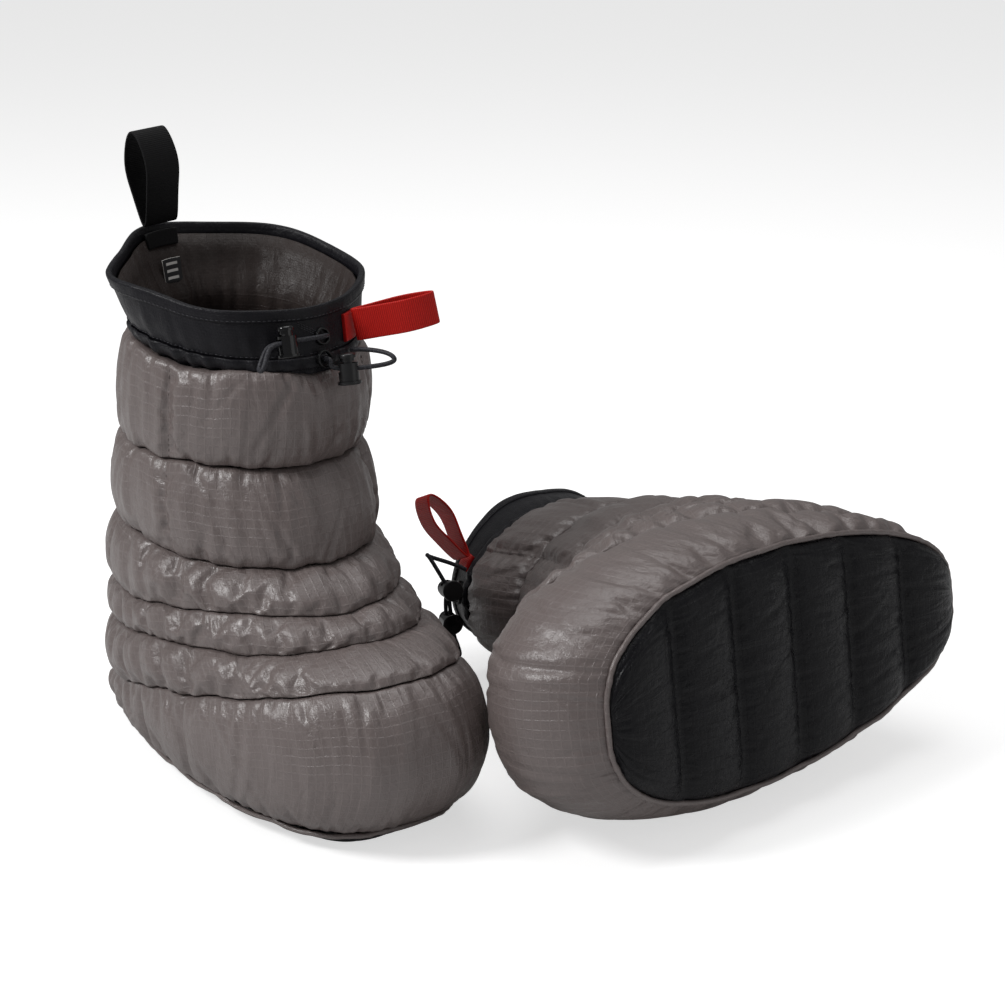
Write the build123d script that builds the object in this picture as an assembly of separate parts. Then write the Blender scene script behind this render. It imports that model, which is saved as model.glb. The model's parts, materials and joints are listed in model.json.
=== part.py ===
from build123d import *

import os
from math import cos, pi, radians, sin, tan

# A pair of down-filled mountaineering camp boots: one standing, one lying on its side.
# Each boot is drawn in its own frame (millimetres): +X from heel to toe, +Y to the wearer's left,
# +Z up the shaft, z = 0 on the underside of the quilted sole. Both are then set down on the floor.

# ---------------------------------------------------------------- driving dimensions (mm)
# Stitched seams round the boot: height at the toe side, height at the heel side, heel end,
# toe end, half width, narrowing towards the heel, squareness of the plan (1 = ellipse)
SEAMS = {
    "sole_edge": (12, 12, -114, 170, 71, 0.22, 0.72),
    "rand_top": (96, 26, -104, 174, 78, 0.14, 0.82),
    "vamp_middle": (107, 66, -100, 140, 73, 0.08, 0.92),
    "vamp_top": (120, 94, -98, 122, 69, 0.03, 1.00),
    "ankle_top": (139, 140, -86, 97, 63, 0.00, 1.00),
    "shaft_middle": (191, 194, -70, 80, 62, 0.00, 1.00),
    "collar_base": (244, 256, -56, 83, 62, 0.00, 1.00),
    "rim": (276, 300, -60, 74, 66, 0.00, 1.00),
}
# How far the down-filled cloth swells out between two seams: at the toe side and elsewhere
PUFF = {
    "toe_rand": (24, 8),
    "vamp_lower_baffle": (6, 7),
    "vamp_upper_baffle": (5, 5),
    "ankle_baffle": (5, 6),
    "shaft_lower_baffle": (5, 6),
    "shaft_upper_baffle": (7, 4),
}
SECTION_POINTS = 20
BODY_GAP = 0.4               # room between the foot, the flexing ankle and the shaft

SOLE_CHANNELS = 6
SOLE_THICKNESS = 12.0
SOLE_EDGE_LIFT = 5.0         # the underside rises this much at each stitched channel seam
INSOLE_THICKNESS = 8.0
INSOLE_CLEAR = 9.0
WALL = 14.0                  # filled wall between the outer cloth and the lining, at a seam
COLLAR_WALL = 1.6            # unfilled collar cloth
LINING = 1.0
HEM_DEPTH = 8.0              # turned hem at the rim
HEM_WALL = 1.2
COLLAR_HEIGHT = 38.0         # slant height of the collar, base to rim
WAIST_DEPTH = 9.0            # drawcord tunnel at the base of the collar
WAIST_WALL = 3.4

ANKLE_AXIS = (50.0, 131.0)   # the boot folds about this line across the foot: x, z

FRONT_TURN = 29.0            # the front pull loop sits this far round to the wearer's left
FRONT_SHARE = 0.51           # and this far up the collar
FRONT_LOOP_SWING = 27.0      # how far it is pushed to the left of straight out
FRONT_LOOP_LIFT = 0.9
REAR_TURN = 193.0            # the rear pull loop, counted the same way
REAR_LOOP_LIFT = 1.6

REAR_LOOP_WIDTH = 24.0
REAR_LOOP_HEIGHT = 56.0
REAR_LOOP_OPEN = 15.0
FRONT_LOOP_WIDTH = 18.0
FRONT_LOOP_LENGTH = 48.0
FRONT_LOOP_OPEN = 11.0
WEBBING_T = 1.5
ANCHOR_T = 2.4

EYELET_D = 9.6
EYELET_HOLE_D = 7.0
EYELET_T = 2.0

CORD_D = 2.6
STRAND_GAP = 2.9             # between the two strands of a drawcord, centre to centre

LOCK_D = 11.0                # round cord lock; heights count from the cords' centre line
LOCK_TOP = 3.2
LOCK_FOOT = 8.4
LOCK_FLANGE_D = 13.0
LOCK_FLANGE_H = 1.8
LOCK_BORE_D = 8.0
LOCK_FLOOR = 1.2
LOCK_SLOT = 3.4              # height and width of the slot that the cords pass
LOCK_SLOT_WIDTH = 5.9
PLUNGER_D = 7.5
PLUNGER_CAP_D = 9.4
PLUNGER_CAP_H = 2.4
PLUNGER_TRAVEL = 2.5
PLUNGER_WEB = 1.0            # plunger under and over its slot
SPRING_D = 6.2
SPRING_WIRE_D = 0.6
SPRING_TURNS = 2.5

TAB_SIZE = (16.0, 14.0, 1.0)


class Pose:
    """How a boot's soft shaft has settled, and where the boot is on the floor."""

    def __init__(self, lean, sag, flat, place, turn):
        self.lean, self.sag, self.flat = lean, sag, flat
        self.location = Location(place) * Rotation(0, 0, turn[1]) * Rotation(turn[0], 0, 0)

    def carry(self, x, y, z, height):
        """Moves a point of a straight shaft to where the settled one has it, at its seam's height."""
        t = min(max((height - 100.0) / 190.0, 0.0), 1.1)
        return Vector(
            12 + (x - 12) * (1 + 0.4 * self.flat * t) + self.lean * t,
            y * (1 - self.flat * t) - self.sag * t,
            z,
        )


UPRIGHT = Pose(0.0, 0.0, 0.0, (-81.2, -133.73, 0.0), (0, 0))
LYING = Pose(-40.0, -6.0, 0.36, (176.0, 96.57, 88.11), (98, -83.4))


# ---------------------------------------------------------------- seam rings
def seam_point(numbers, angle, pose, inset=0.0, lift=0.0):
    """A point of a seam ring: angle 0 is the toe side, 90 degrees the wearer's left."""
    z_toe, z_heel, heel, toe, half, narrowing, square = numbers
    c, s = cos(angle), sin(angle)
    reach = (toe - heel) / 2
    x = (toe + heel) / 2 + (reach - inset) * c
    y = (half - inset) * (1 - narrowing * (1 - c) / 2) * abs(s) ** square * (1 if s >= 0 else -1)
    z = (z_toe + z_heel) / 2 + (z_toe - z_heel) / 2 * (reach - inset) * c / reach + lift
    return pose.carry(x, y, z, (z_toe + z_heel) / 2)


def seam_face(numbers, pose, inset=0.0, lift=0.0):
    turn = [2 * pi * i / SECTION_POINTS for i in range(SECTION_POINTS)]
    return make_face(
        Spline(*[seam_point(numbers, a, pose, inset, lift) for a in turn], periodic=True)
    )


def between(low, high, share=0.5, puff=(0.0, 0.0)):
    """The numbers of a ring between two seams, swollen by puff at the toe side and elsewhere."""
    mixed = [a + (b - a) * share for a, b in zip(low, high)]
    mixed[2] -= puff[1]
    mixed[3] += puff[0]
    mixed[4] += puff[1]
    return mixed


def baffle(name, low, high, pose, wall=(WALL, WALL), lifts=(0.0, 0.0)):
    """A ring of filled cloth: swollen outside, straight inside, flat where it meets its neighbours."""
    a, b = SEAMS[low], SEAMS[high]
    middle = seam_face(between(a, b, puff=PUFF[name]), pose, lift=sum(lifts) / 2)
    outer = loft([seam_face(a, pose, lift=lifts[0]), middle, seam_face(b, pose, lift=lifts[1])])
    inner = loft([
        seam_face(a, pose, wall[0], lifts[0]),
        seam_face(b, pose, wall[1], lifts[1]),
    ], ruled=True)
    return outer - inner


def sleeve(low, high, pose, outside, thickness, shares=(0.0, 1.0), lifts=(0.0, 0.0)):
    """A thin straight sleeve between two seams, outside mm in from them at each end."""
    a, b = SEAMS[low], SEAMS[high]
    ends = [between(a, b, shares[0]), between(a, b, shares[1])]
    sides = [
        loft([
            seam_face(ends[0], pose, outside[0] + more, lifts[0]),
            seam_face(ends[1], pose, outside[1] + more, lifts[1]),
        ], ruled=True)
        for more in (0.0, thickness)
    ]
    return sides[0] - sides[1]


# ---------------------------------------------------------------- foot
def sole_quilt(pose):
    """Down channels across the foot, scalloped underneath, flat on top."""
    heel, toe = SEAMS["sole_edge"][2:4]
    step = (toe - heel) / SOLE_CHANNELS
    edge = Line((toe, 0, SOLE_THICKNESS), (heel, 0, SOLE_THICKNESS))
    edge += Line((heel, 0, SOLE_THICKNESS), (heel, 0, SOLE_EDGE_LIFT))
    for i in range(SOLE_CHANNELS):
        a, b = heel + i * step, heel + (i + 1) * step
        edge += ThreePointArc((a, 0, SOLE_EDGE_LIFT), ((a + b) / 2, 0, 0), (b, 0, SOLE_EDGE_LIFT))
    edge += Line((toe, 0, SOLE_EDGE_LIFT), (toe, 0, SOLE_THICKNESS))
    channels = extrude(make_face(edge), amount=100, dir=(0, 1, 0), both=True)
    plan = extrude(seam_face(SEAMS["sole_edge"], pose), amount=SOLE_THICKNESS, dir=(0, 0, -1))
    return channels & plan


def foam_insole(pose):
    face = seam_face(SEAMS["sole_edge"], pose, WALL + LINING + INSOLE_CLEAR)
    return extrude(face, amount=INSOLE_THICKNESS, dir=(0, 0, 1))


def foot_parts(pose):
    gap = BODY_GAP / 2
    return {
        "sole_quilt": sole_quilt(pose),
        "foam_insole": foam_insole(pose),
        "toe_rand": baffle("toe_rand", "sole_edge", "rand_top", pose),
        "vamp_lower_baffle": baffle("vamp_lower_baffle", "rand_top", "vamp_middle", pose),
        "vamp_upper_baffle": baffle("vamp_upper_baffle", "vamp_middle", "vamp_top", pose),
        "ankle_baffle": baffle("ankle_baffle", "vamp_top", "ankle_top", pose, lifts=(gap, -gap)),
        "lining_foot": foot_lining(pose),
        "lining_ankle": sleeve(
            "vamp_top", "ankle_top", pose, (WALL, WALL), LINING, lifts=(gap, -gap)
        ),
    }


def foot_lining(pose):
    """The foot's inner sock: one sleeve that follows the inside of the three foot baffles."""
    names = ("sole_edge", "rand_top", "vamp_middle", "vamp_top")
    sides = [
        [loft([seam_face(SEAMS[a], pose, inset), seam_face(SEAMS[b], pose, inset)], ruled=True)
         for a, b in zip(names, names[1:])]
        for inset in (WALL, WALL + LINING)
    ]
    rings = [big - small for big, small in zip(*sides)]
    return rings[0] + rings[1] + rings[2]


# ---------------------------------------------------------------- shaft and collar
def shaft_parts(pose):
    gap = BODY_GAP / 2
    lining = sleeve("ankle_top", "shaft_middle", pose, (WALL, WALL), LINING, lifts=(gap, 0))
    lining += sleeve("shaft_middle", "collar_base", pose, (WALL, WALL), LINING)
    lining += sleeve("collar_base", "rim", pose, (WALL, COLLAR_WALL), LINING)
    return {
        "shaft_lower_baffle": baffle(
            "shaft_lower_baffle", "ankle_top", "shaft_middle", pose, lifts=(gap, 0)
        ),
        "shaft_upper_baffle": baffle("shaft_upper_baffle", "shaft_middle", "collar_base", pose),
        "collar": sleeve("collar_base", "rim", pose, (0, 0), COLLAR_WALL),
        "lining_shaft": lining,
        "rim_hem": sleeve(
            "collar_base", "rim", pose, (-HEM_WALL, -HEM_WALL), HEM_WALL,
            shares=(1 - HEM_DEPTH / COLLAR_HEIGHT, 1.0),
        ),
        "waist_tunnel": sleeve(
            "collar_base", "rim", pose, (-WAIST_WALL, -WAIST_WALL), WAIST_WALL - 0.2,
            shares=(0.02, WAIST_DEPTH / COLLAR_HEIGHT),
        ),
    }


# ---------------------------------------------------------------- places on the collar
class Spot:
    """A point on the collar's outer cloth with its outward, sideways (left) and up directions."""

    def __init__(self, pose, turn, share, out=0.0):
        def on_cloth(angle, level):
            low = seam_point(SEAMS["collar_base"], angle, pose)
            high = seam_point(SEAMS["rim"], angle, pose)
            return low + (high - low) * level

        angle = radians(turn)
        here = on_cloth(angle, share)
        self.side = (on_cloth(angle + 0.02, share) - on_cloth(angle - 0.02, share)).normalized()
        rise = on_cloth(angle, share + 0.02) - here
        self.out = self.side.cross(rise).normalized()
        self.up = self.out.cross(self.side).normalized()
        self.origin = here + self.out * out

    def point(self, out=0.0, side=0.0, up=0.0):
        return self.origin + self.out * out + self.side * side + self.up * up

    def location(self):
        """Local X points out of the boot, Y to the wearer's left, Z up."""
        return Plane(origin=self.origin, x_dir=self.out, z_dir=self.up).location


def collar_patch(pose, turn, share, width, height, outside, thickness):
    """A curved patch of cloth or webbing that lies on the collar."""
    skin = sleeve("collar_base", "rim", pose, outside, thickness)
    window = Spot(pose, turn, share).location() * Box(24, width, height)
    return skin & window


# ---------------------------------------------------------------- webbing pull loops
def webbing_loop(width, length, opening, thickness):
    """A flat strap sewn end to end: stands along +X from its fold at the origin, width along Z."""
    def teardrop(tip, long, wide):
        return make_face(Spline(
            (tip, 0, 0), (tip + 0.33 * long, 0.36 * wide, 0), (tip + 0.75 * long, 0.5 * wide, 0),
            (tip + long, 0, 0), (tip + 0.75 * long, -0.5 * wide, 0),
            (tip + 0.33 * long, -0.36 * wide, 0), periodic=True,
        ))
    outer = teardrop(0, length, opening + 2 * thickness)
    inner = teardrop(thickness * 2, length - 3 * thickness, opening)
    return Pos(0, 0, -width / 2) * extrude(outer - inner, amount=width, dir=(0, 0, 1))


def rear_loop(pose):
    spot = Spot(pose, REAR_TURN, 1.0, -COLLAR_WALL - LINING - ANCHOR_T / 2)
    strap = webbing_loop(REAR_LOOP_WIDTH, REAR_LOOP_HEIGHT, REAR_LOOP_OPEN, WEBBING_T)
    stand = Plane(origin=spot.point(up=REAR_LOOP_LIFT), x_dir=spot.up, z_dir=spot.side)
    return stand.location * strap


def front_loop(pose):
    spot = Spot(pose, FRONT_TURN, FRONT_SHARE, ANCHOR_T + FRONT_LOOP_LIFT)
    strap = webbing_loop(FRONT_LOOP_WIDTH, FRONT_LOOP_LENGTH, FRONT_LOOP_OPEN, WEBBING_T)
    return spot.location() * Rotation(0, 0, FRONT_LOOP_SWING) * strap


def webbing_parts(pose):
    inside = (-(-WALL - LINING), COLLAR_WALL + LINING)
    return {
        "rear_loop": rear_loop(pose),
        "rear_loop_anchor": collar_patch(
            pose, REAR_TURN, 0.86, REAR_LOOP_WIDTH, 9.0, inside, ANCHOR_T
        ),
        "front_loop": front_loop(pose),
        "front_loop_anchor": collar_patch(
            pose, FRONT_TURN, FRONT_SHARE, 11.0, FRONT_LOOP_WIDTH - 3.0, (-ANCHOR_T, -ANCHOR_T),
            ANCHOR_T,
        ),
        "size_tab": collar_patch(pose, REAR_TURN, 0.45, TAB_SIZE[0], TAB_SIZE[1], inside, TAB_SIZE[2]),
    }


# ---------------------------------------------------------------- drawcords and cord locks
def eyelet():
    """A pressed ring: its hole runs along X, its back face is at the origin."""
    ring = Cylinder(EYELET_D / 2, EYELET_T) - Cylinder(EYELET_HOLE_D / 2, EYELET_T * 2)
    ring = fillet(ring.edges().filter_by(GeomType.CIRCLE).group_by(Axis.Z)[-1], 0.5)
    return Rotation(0, 90, 0) * Pos(0, 0, EYELET_T / 2) * ring


def lock_barrel():
    """Open cup, bore up, with a slot for the cords along X and a flange at the foot."""
    height = LOCK_TOP + LOCK_FOOT
    cup = Pos(0, 0, -LOCK_FOOT + height / 2) * Cylinder(LOCK_D / 2, height)
    cup += Pos(0, 0, -LOCK_FOOT + LOCK_FLANGE_H / 2) * Cylinder(LOCK_FLANGE_D / 2, LOCK_FLANGE_H)
    cup = fillet(cup.edges().filter_by(GeomType.CIRCLE).group_by(Axis.Z)[0], 0.7)
    cup -= Pos(0, 0, LOCK_FLOOR - LOCK_FOOT + height / 2) * Cylinder(LOCK_BORE_D / 2, height)
    return cup - Box(LOCK_FLANGE_D * 2, LOCK_SLOT_WIDTH, LOCK_SLOT)


def lock_plunger():
    """Round plunger with its own slot; its domed cap stands off the barrel by the travel."""
    foot = -LOCK_SLOT / 2 - PLUNGER_WEB
    top = LOCK_TOP + PLUNGER_TRAVEL + 0.3
    stem = Pos(0, 0, (foot + top) / 2) * Cylinder(PLUNGER_D / 2, top - foot)
    cap = Pos(0, 0, top + PLUNGER_CAP_H / 2) * Cylinder(PLUNGER_CAP_D / 2, PLUNGER_CAP_H)
    cap = fillet(cap.edges().filter_by(GeomType.CIRCLE).group_by(Axis.Z)[-1], 1.4)
    slot = Pos(0, 0, PLUNGER_TRAVEL / 2) * Box(
        LOCK_D, LOCK_SLOT_WIDTH, LOCK_SLOT + PLUNGER_TRAVEL
    )
    return stem - slot + cap


def lock_spring():
    """Coil between the barrel's floor and the foot of the plunger."""
    low = -LOCK_FOOT + LOCK_FLOOR + SPRING_WIRE_D / 2 + 0.05
    high = -LOCK_SLOT / 2 - PLUNGER_WEB - SPRING_WIRE_D / 2 - 0.05
    coil = Helix((high - low) / SPRING_TURNS, high - low, (SPRING_D - SPRING_WIRE_D) / 2)
    start = Plane(origin=coil @ 0, z_dir=coil % 0)
    return Pos(0, 0, low) * sweep(start * Circle(SPRING_WIRE_D / 2), path=coil, is_frenet=True)


def route_tube(points):
    """A round cord along straight runs joined by arcs as large as the runs allow."""
    radii = []
    for before, here, after in zip(points, points[1:], points[2:]):
        into, out = here - before, after - here
        half_turn = radians(into.get_angle(out)) / 2
        radii.append(0.45 * min(into.length, out.length) / tan(half_turn))
    print("  bend radii", [round(r, 1) for r in radii])
    path = FilletPolyline(*points, radius=radii)
    start = Plane(origin=path @ 0, z_dir=path % 0)
    tube = sweep(start * Circle(CORD_D / 2), path=path)
    print("  tube volume over section times length",
          round(tube.volume / (pi * CORD_D ** 2 / 4 * path.length), 4), "length", round(path.length, 1))
    return tube


class WaistCord:
    """Elastic drawcord of the waist: sewn in at one end, round a free loop, through the lock, in."""

    def __init__(self, pose):
        self.eyelet = Spot(pose, 6.0, 0.15, WAIST_WALL + 0.1)
        self.lock = Spot(pose, 12.0, -0.08, 13.5)
        turn = radians(48)
        away = self.lock.out * cos(turn) + self.lock.side * sin(turn) - self.lock.up * 0.12
        self.along = away.normalized()
        centre, up = self.lock.origin, self.lock.up
        sewn = Spot(pose, 25.0, 0.15, WAIST_WALL)
        tip = centre + self.along * 26
        self.points = [
            sewn.point(0.2), sewn.point(7.5), tip + up * 6.2 - self.along * 1.5, tip,
            centre - self.along * 10, self.eyelet.point(6.8), self.eyelet.point(0.3),
        ]


class RimCord:
    """Elastic drawcord of the rim: out of its eyelet, through the lock, round a small end loop, back."""

    def __init__(self, pose):
        self.eyelet = Spot(pose, 9.0, 0.50, 0.15)
        self.lock = Spot(pose, -13.0, 0.50, 10.5)
        gate = self.eyelet.point(9.0, -4.0)
        centre, w = self.lock.origin, STRAND_GAP / 2
        self.along = (gate - centre).normalized()
        across = self.along.cross(self.lock.up).normalized()
        down = (self.lock.up * -0.9 - self.along * 0.45).normalized()
        bend = centre - self.along * 11
        end = bend + down * 15 + self.lock.out * 2
        there, back = [
            [
                self.eyelet.point(0.2, side * w), self.eyelet.point(6.5, side * w),
                centre + self.along * 15 + across * (side * w),
                centre - self.along * 9.5 + across * (side * w),
                bend + down * 6 + across * (side * 1.9), end + across * (side * 3.1),
            ]
            for side in (1, -1)
        ]
        self.points = there + back[::-1]


def lock_location(spot, along):
    """Local X runs along the cords, Z is the plunger's axis, as near upright as it can be."""
    axis = (spot.up - along * spot.up.dot(along)).normalized()
    return Plane(origin=spot.origin, x_dir=along, z_dir=axis).location


def cord_parts(pose):
    parts = {}
    for name, cord in (("waist", WaistCord(pose)), ("rim", RimCord(pose))):
        place = lock_location(cord.lock, cord.along)
        parts[name + "_eyelet"] = cord.eyelet.location() * eyelet()
        parts[name + "_cord"] = route_tube(cord.points)
        parts[name + "_lock_barrel"] = place * lock_barrel()
        parts[name + "_lock_plunger"] = place * lock_plunger()
        parts[name + "_lock_spring"] = place * lock_spring()
    return parts


# ---------------------------------------------------------------- the pair
def build_boot(pose):
    parts = foot_parts(pose)
    parts.update(shaft_parts(pose))
    parts.update(webbing_parts(pose))
    parts.update(cord_parts(pose))
    return parts


def main():
    os.makedirs("parts", exist_ok=True)
    for prefix, pose in (("upright", UPRIGHT), ("lying", LYING)):
        for name, part in build_boot(pose).items():
            export_step(pose.location * part, f"parts/{prefix}_{name}.step")


if __name__ == "__main__":
    main()
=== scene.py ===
"""Down-filled mountaineering camp boots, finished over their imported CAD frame."""

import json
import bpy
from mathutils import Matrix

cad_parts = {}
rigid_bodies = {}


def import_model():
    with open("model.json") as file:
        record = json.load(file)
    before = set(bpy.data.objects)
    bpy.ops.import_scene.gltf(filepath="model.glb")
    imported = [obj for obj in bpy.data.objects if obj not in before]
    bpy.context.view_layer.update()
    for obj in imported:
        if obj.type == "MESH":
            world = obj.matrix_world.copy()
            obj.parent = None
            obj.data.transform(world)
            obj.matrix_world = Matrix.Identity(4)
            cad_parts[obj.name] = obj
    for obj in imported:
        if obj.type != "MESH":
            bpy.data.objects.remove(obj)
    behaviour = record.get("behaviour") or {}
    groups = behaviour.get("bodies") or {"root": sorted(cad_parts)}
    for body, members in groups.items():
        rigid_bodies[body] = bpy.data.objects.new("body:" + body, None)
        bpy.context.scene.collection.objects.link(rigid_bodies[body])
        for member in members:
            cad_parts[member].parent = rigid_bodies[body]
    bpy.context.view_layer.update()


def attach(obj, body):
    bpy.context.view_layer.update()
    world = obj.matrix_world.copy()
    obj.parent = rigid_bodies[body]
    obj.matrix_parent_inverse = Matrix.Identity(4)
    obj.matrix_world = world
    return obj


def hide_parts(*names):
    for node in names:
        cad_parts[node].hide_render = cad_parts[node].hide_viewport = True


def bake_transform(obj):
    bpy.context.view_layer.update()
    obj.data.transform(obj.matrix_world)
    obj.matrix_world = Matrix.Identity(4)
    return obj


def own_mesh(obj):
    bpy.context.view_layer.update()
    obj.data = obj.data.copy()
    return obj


bl_info = {
    "name": "Down camp boots",
    "version": (1, 0, 0),
    "blender": (4, 5, 0),
    "location": "3D View > Sidebar > Boots",
    "description": "Makes the sewn, filled and woven pieces of a pair of down camp boots",
    "category": "Add Mesh",
}

from math import cos, pi, radians, sin

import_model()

import bpy
import numpy as np
from mathutils import Matrix, Vector

MM = 0.001

# ------------------------------------------------------------------ the boot's shape (mm)
# Stitched seams: height at the toe side and at the heel side, heel end, toe end, half width,
# narrowing towards the heel, squareness of the plan (1 = ellipse)
SEAMS = {
    "sole_edge": (12, 12, -114, 170, 71, 0.22, 0.72),
    "rand_top": (96, 26, -104, 174, 78, 0.14, 0.82),
    "vamp_middle": (107, 66, -100, 140, 73, 0.08, 0.92),
    "vamp_top": (120, 94, -98, 122, 69, 0.03, 1.00),
    "ankle_top": (139, 140, -86, 97, 63, 0.00, 1.00),
    "shaft_middle": (191, 194, -70, 80, 62, 0.00, 1.00),
    "collar_base": (244, 256, -56, 83, 62, 0.00, 1.00),
    "rim": (276, 300, -60, 74, 66, 0.00, 1.00),
}
SEAM_NAMES = list(SEAMS)
WALL = 14.0
COLLAR_WALL = 1.6
LINING = 1.0
SOLE_CHANNELS = 6
SOLE_TOP = 12.0
CHANNEL_SEAM = 9.4      # how high the sole's cross seams are sewn
CHANNEL_DROP = 8.4      # how far a filled channel hangs below them
WAIST_WALL = 3.4


class Boot:
    """One boot: how its soft shaft has settled, and the turn and place that set it down."""

    def __init__(self, name, lean, sag, flat, place, roll, yaw):
        self.name, self.lean, self.sag, self.flat = name, lean, sag, flat
        turn = Matrix.Rotation(radians(yaw), 3, "Z") @ Matrix.Rotation(radians(roll), 3, "X")
        self.turn = np.array(turn)
        self.place = np.array(place)

    def settle(self, points, height):
        """Leans, sags and flattens points by the share of the shaft's height that they are at."""
        t = np.clip((height - 100.0) / 190.0, 0.0, 1.1)
        x, y, z = points[..., 0], points[..., 1], points[..., 2]
        return np.stack([
            12 + (x - 12) * (1 + 0.4 * self.flat * t) + self.lean * t,
            y * (1 - self.flat * t) - self.sag * t,
            z,
        ], -1)

    def row(self, points):
        """Boot millimetres to row metres."""
        return (np.asarray(points) @ self.turn.T + self.place) * MM

    def rested(self, points):
        """Boot millimetres to row metres, with soft cloth pressed flat where it would pass the floor."""
        placed = self.row(points)
        placed[..., 2] = np.maximum(placed[..., 2], 0.0002)
        return placed

    def aim(self, direction):
        return np.asarray(direction) @ self.turn.T

    def body(self, part):
        return f"{self.name}_{part}"


UPRIGHT = Boot("upright", 0.0, 0.0, 0.0, (-81.2, -133.73, 0.0), 0.0, 0.0)
LYING = Boot("lying", -40.0, -6.0, 0.36, (176.0, 96.57, 88.11), 98.0, -83.4)
BOOTS = (UPRIGHT, LYING)


def noise_round(angles, seed, low, high, count=9):
    """A smooth random curve round a seam: a sum of sines with seeded turns, about -1 to 1."""
    rng = np.random.default_rng(seed)
    waves = rng.integers(low, high + 1, count)
    phases = rng.uniform(0, 2 * pi, count)
    sizes = rng.uniform(0.4, 1.0, count)
    total = np.sin(angles[..., None] * waves + phases) * sizes
    return total.sum(-1) / np.sqrt((sizes ** 2).sum() / 2) / 2


def ring_points(boot, numbers, angles, inset=0.0, lift=0.0):
    """Rings of a seam: x follows the cosine, y the sine raised to the plan's squareness, z tilts."""
    numbers = np.asarray(numbers, float)
    z_toe, z_heel, heel, toe, half, narrowing, square = np.moveaxis(numbers[..., None], -2, 0)
    c, s = np.cos(angles), np.sin(angles)
    reach = (toe - heel) / 2
    x = (toe + heel) / 2 + (reach - inset) * c
    y = (half - inset) * (1 - narrowing * (1 - c) / 2) * np.abs(s) ** square * np.sign(s)
    z = (z_toe + z_heel) / 2 + (z_toe - z_heel) / 2 * (reach - inset) * c / reach + lift
    return boot.settle(np.stack([x, y, z + 0 * x], -1), (z_toe + z_heel) / 2)


def seam_mix(low, high, shares, puff=(0.0, 0.0)):
    """Seam numbers at shares of the way between two seams, swollen as a parabola between them."""
    a, b = np.array(SEAMS[low], float), np.array(SEAMS[high], float)
    mixed = a + (b - a) * shares[:, None]
    swell = 4 * shares * (1 - shares)
    mixed[:, 2] -= puff[1] * swell
    mixed[:, 3] += puff[0] * swell
    mixed[:, 4] += puff[1] * swell
    return mixed


def seam_ripple(name, angles, size=1.0):
    """How far a sewn seam wanders up and down as its gathers pull on it."""
    seed = SEAM_NAMES.index(name) * 7 + 3
    edge = 0.0 if name in ("sole_edge",) else 1.0
    return size * edge * (1.5 * noise_round(angles, seed, 2, 6) + 0.9 * noise_round(angles, seed + 1, 9, 22))


def grid_quads(rows, columns, round_columns, round_rows=False):
    """Quads of a grid of points, with each corner's row and column before any wrap."""
    i, j = np.meshgrid(
        np.arange(rows if round_rows else rows - 1),
        np.arange(columns if round_columns else columns - 1), indexing="ij",
    )
    corner_i = np.stack([i, i, i + 1, i + 1], -1).reshape(-1, 4)
    corner_j = np.stack([j, j + 1, j + 1, j], -1).reshape(-1, 4)
    return (corner_i % rows) * columns + corner_j % columns, corner_i, corner_j


def mesh_piece(name, points, quads, uv=None, smooth=True):
    """A mesh object at the origin, its points in row metres, uv for each corner in metres.

    Faces turn over together when the volume that they enclose comes out negative."""
    flat = points.reshape(-1, 3)
    a, b, c, d = np.moveaxis(flat[quads], 1, 0)
    if (np.cross(a, b) * c + np.cross(a, c) * d).sum() < -1e-12:
        quads = quads[:, ::-1]
        uv = None if uv is None else np.asarray(uv)[:, ::-1]
    mesh = bpy.data.meshes.new(name)
    mesh.from_pydata(flat.tolist(), [], quads.tolist())
    if uv is not None:
        layer = mesh.uv_layers.new(name="cloth")
        layer.data.foreach_set("uv", np.asarray(uv, dtype=np.float32).reshape(-1))
    mesh.polygons.foreach_set("use_smooth", np.full(len(mesh.polygons), smooth))
    mesh.update()
    piece = bpy.data.objects.new(name, mesh)
    bpy.context.collection.objects.link(piece)
    return piece


def subdivide(piece, levels=1):
    modifier = piece.modifiers.new("Subdivision", "SUBSURF")
    modifier.levels = modifier.render_levels = levels
    return piece


# ------------------------------------------------------------------ cloth
CLOTH_SCALE = 10.0      # the cloth is simulated ten times life size, where its solver is at ease
CLOTH_FRAMES = 24


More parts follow.
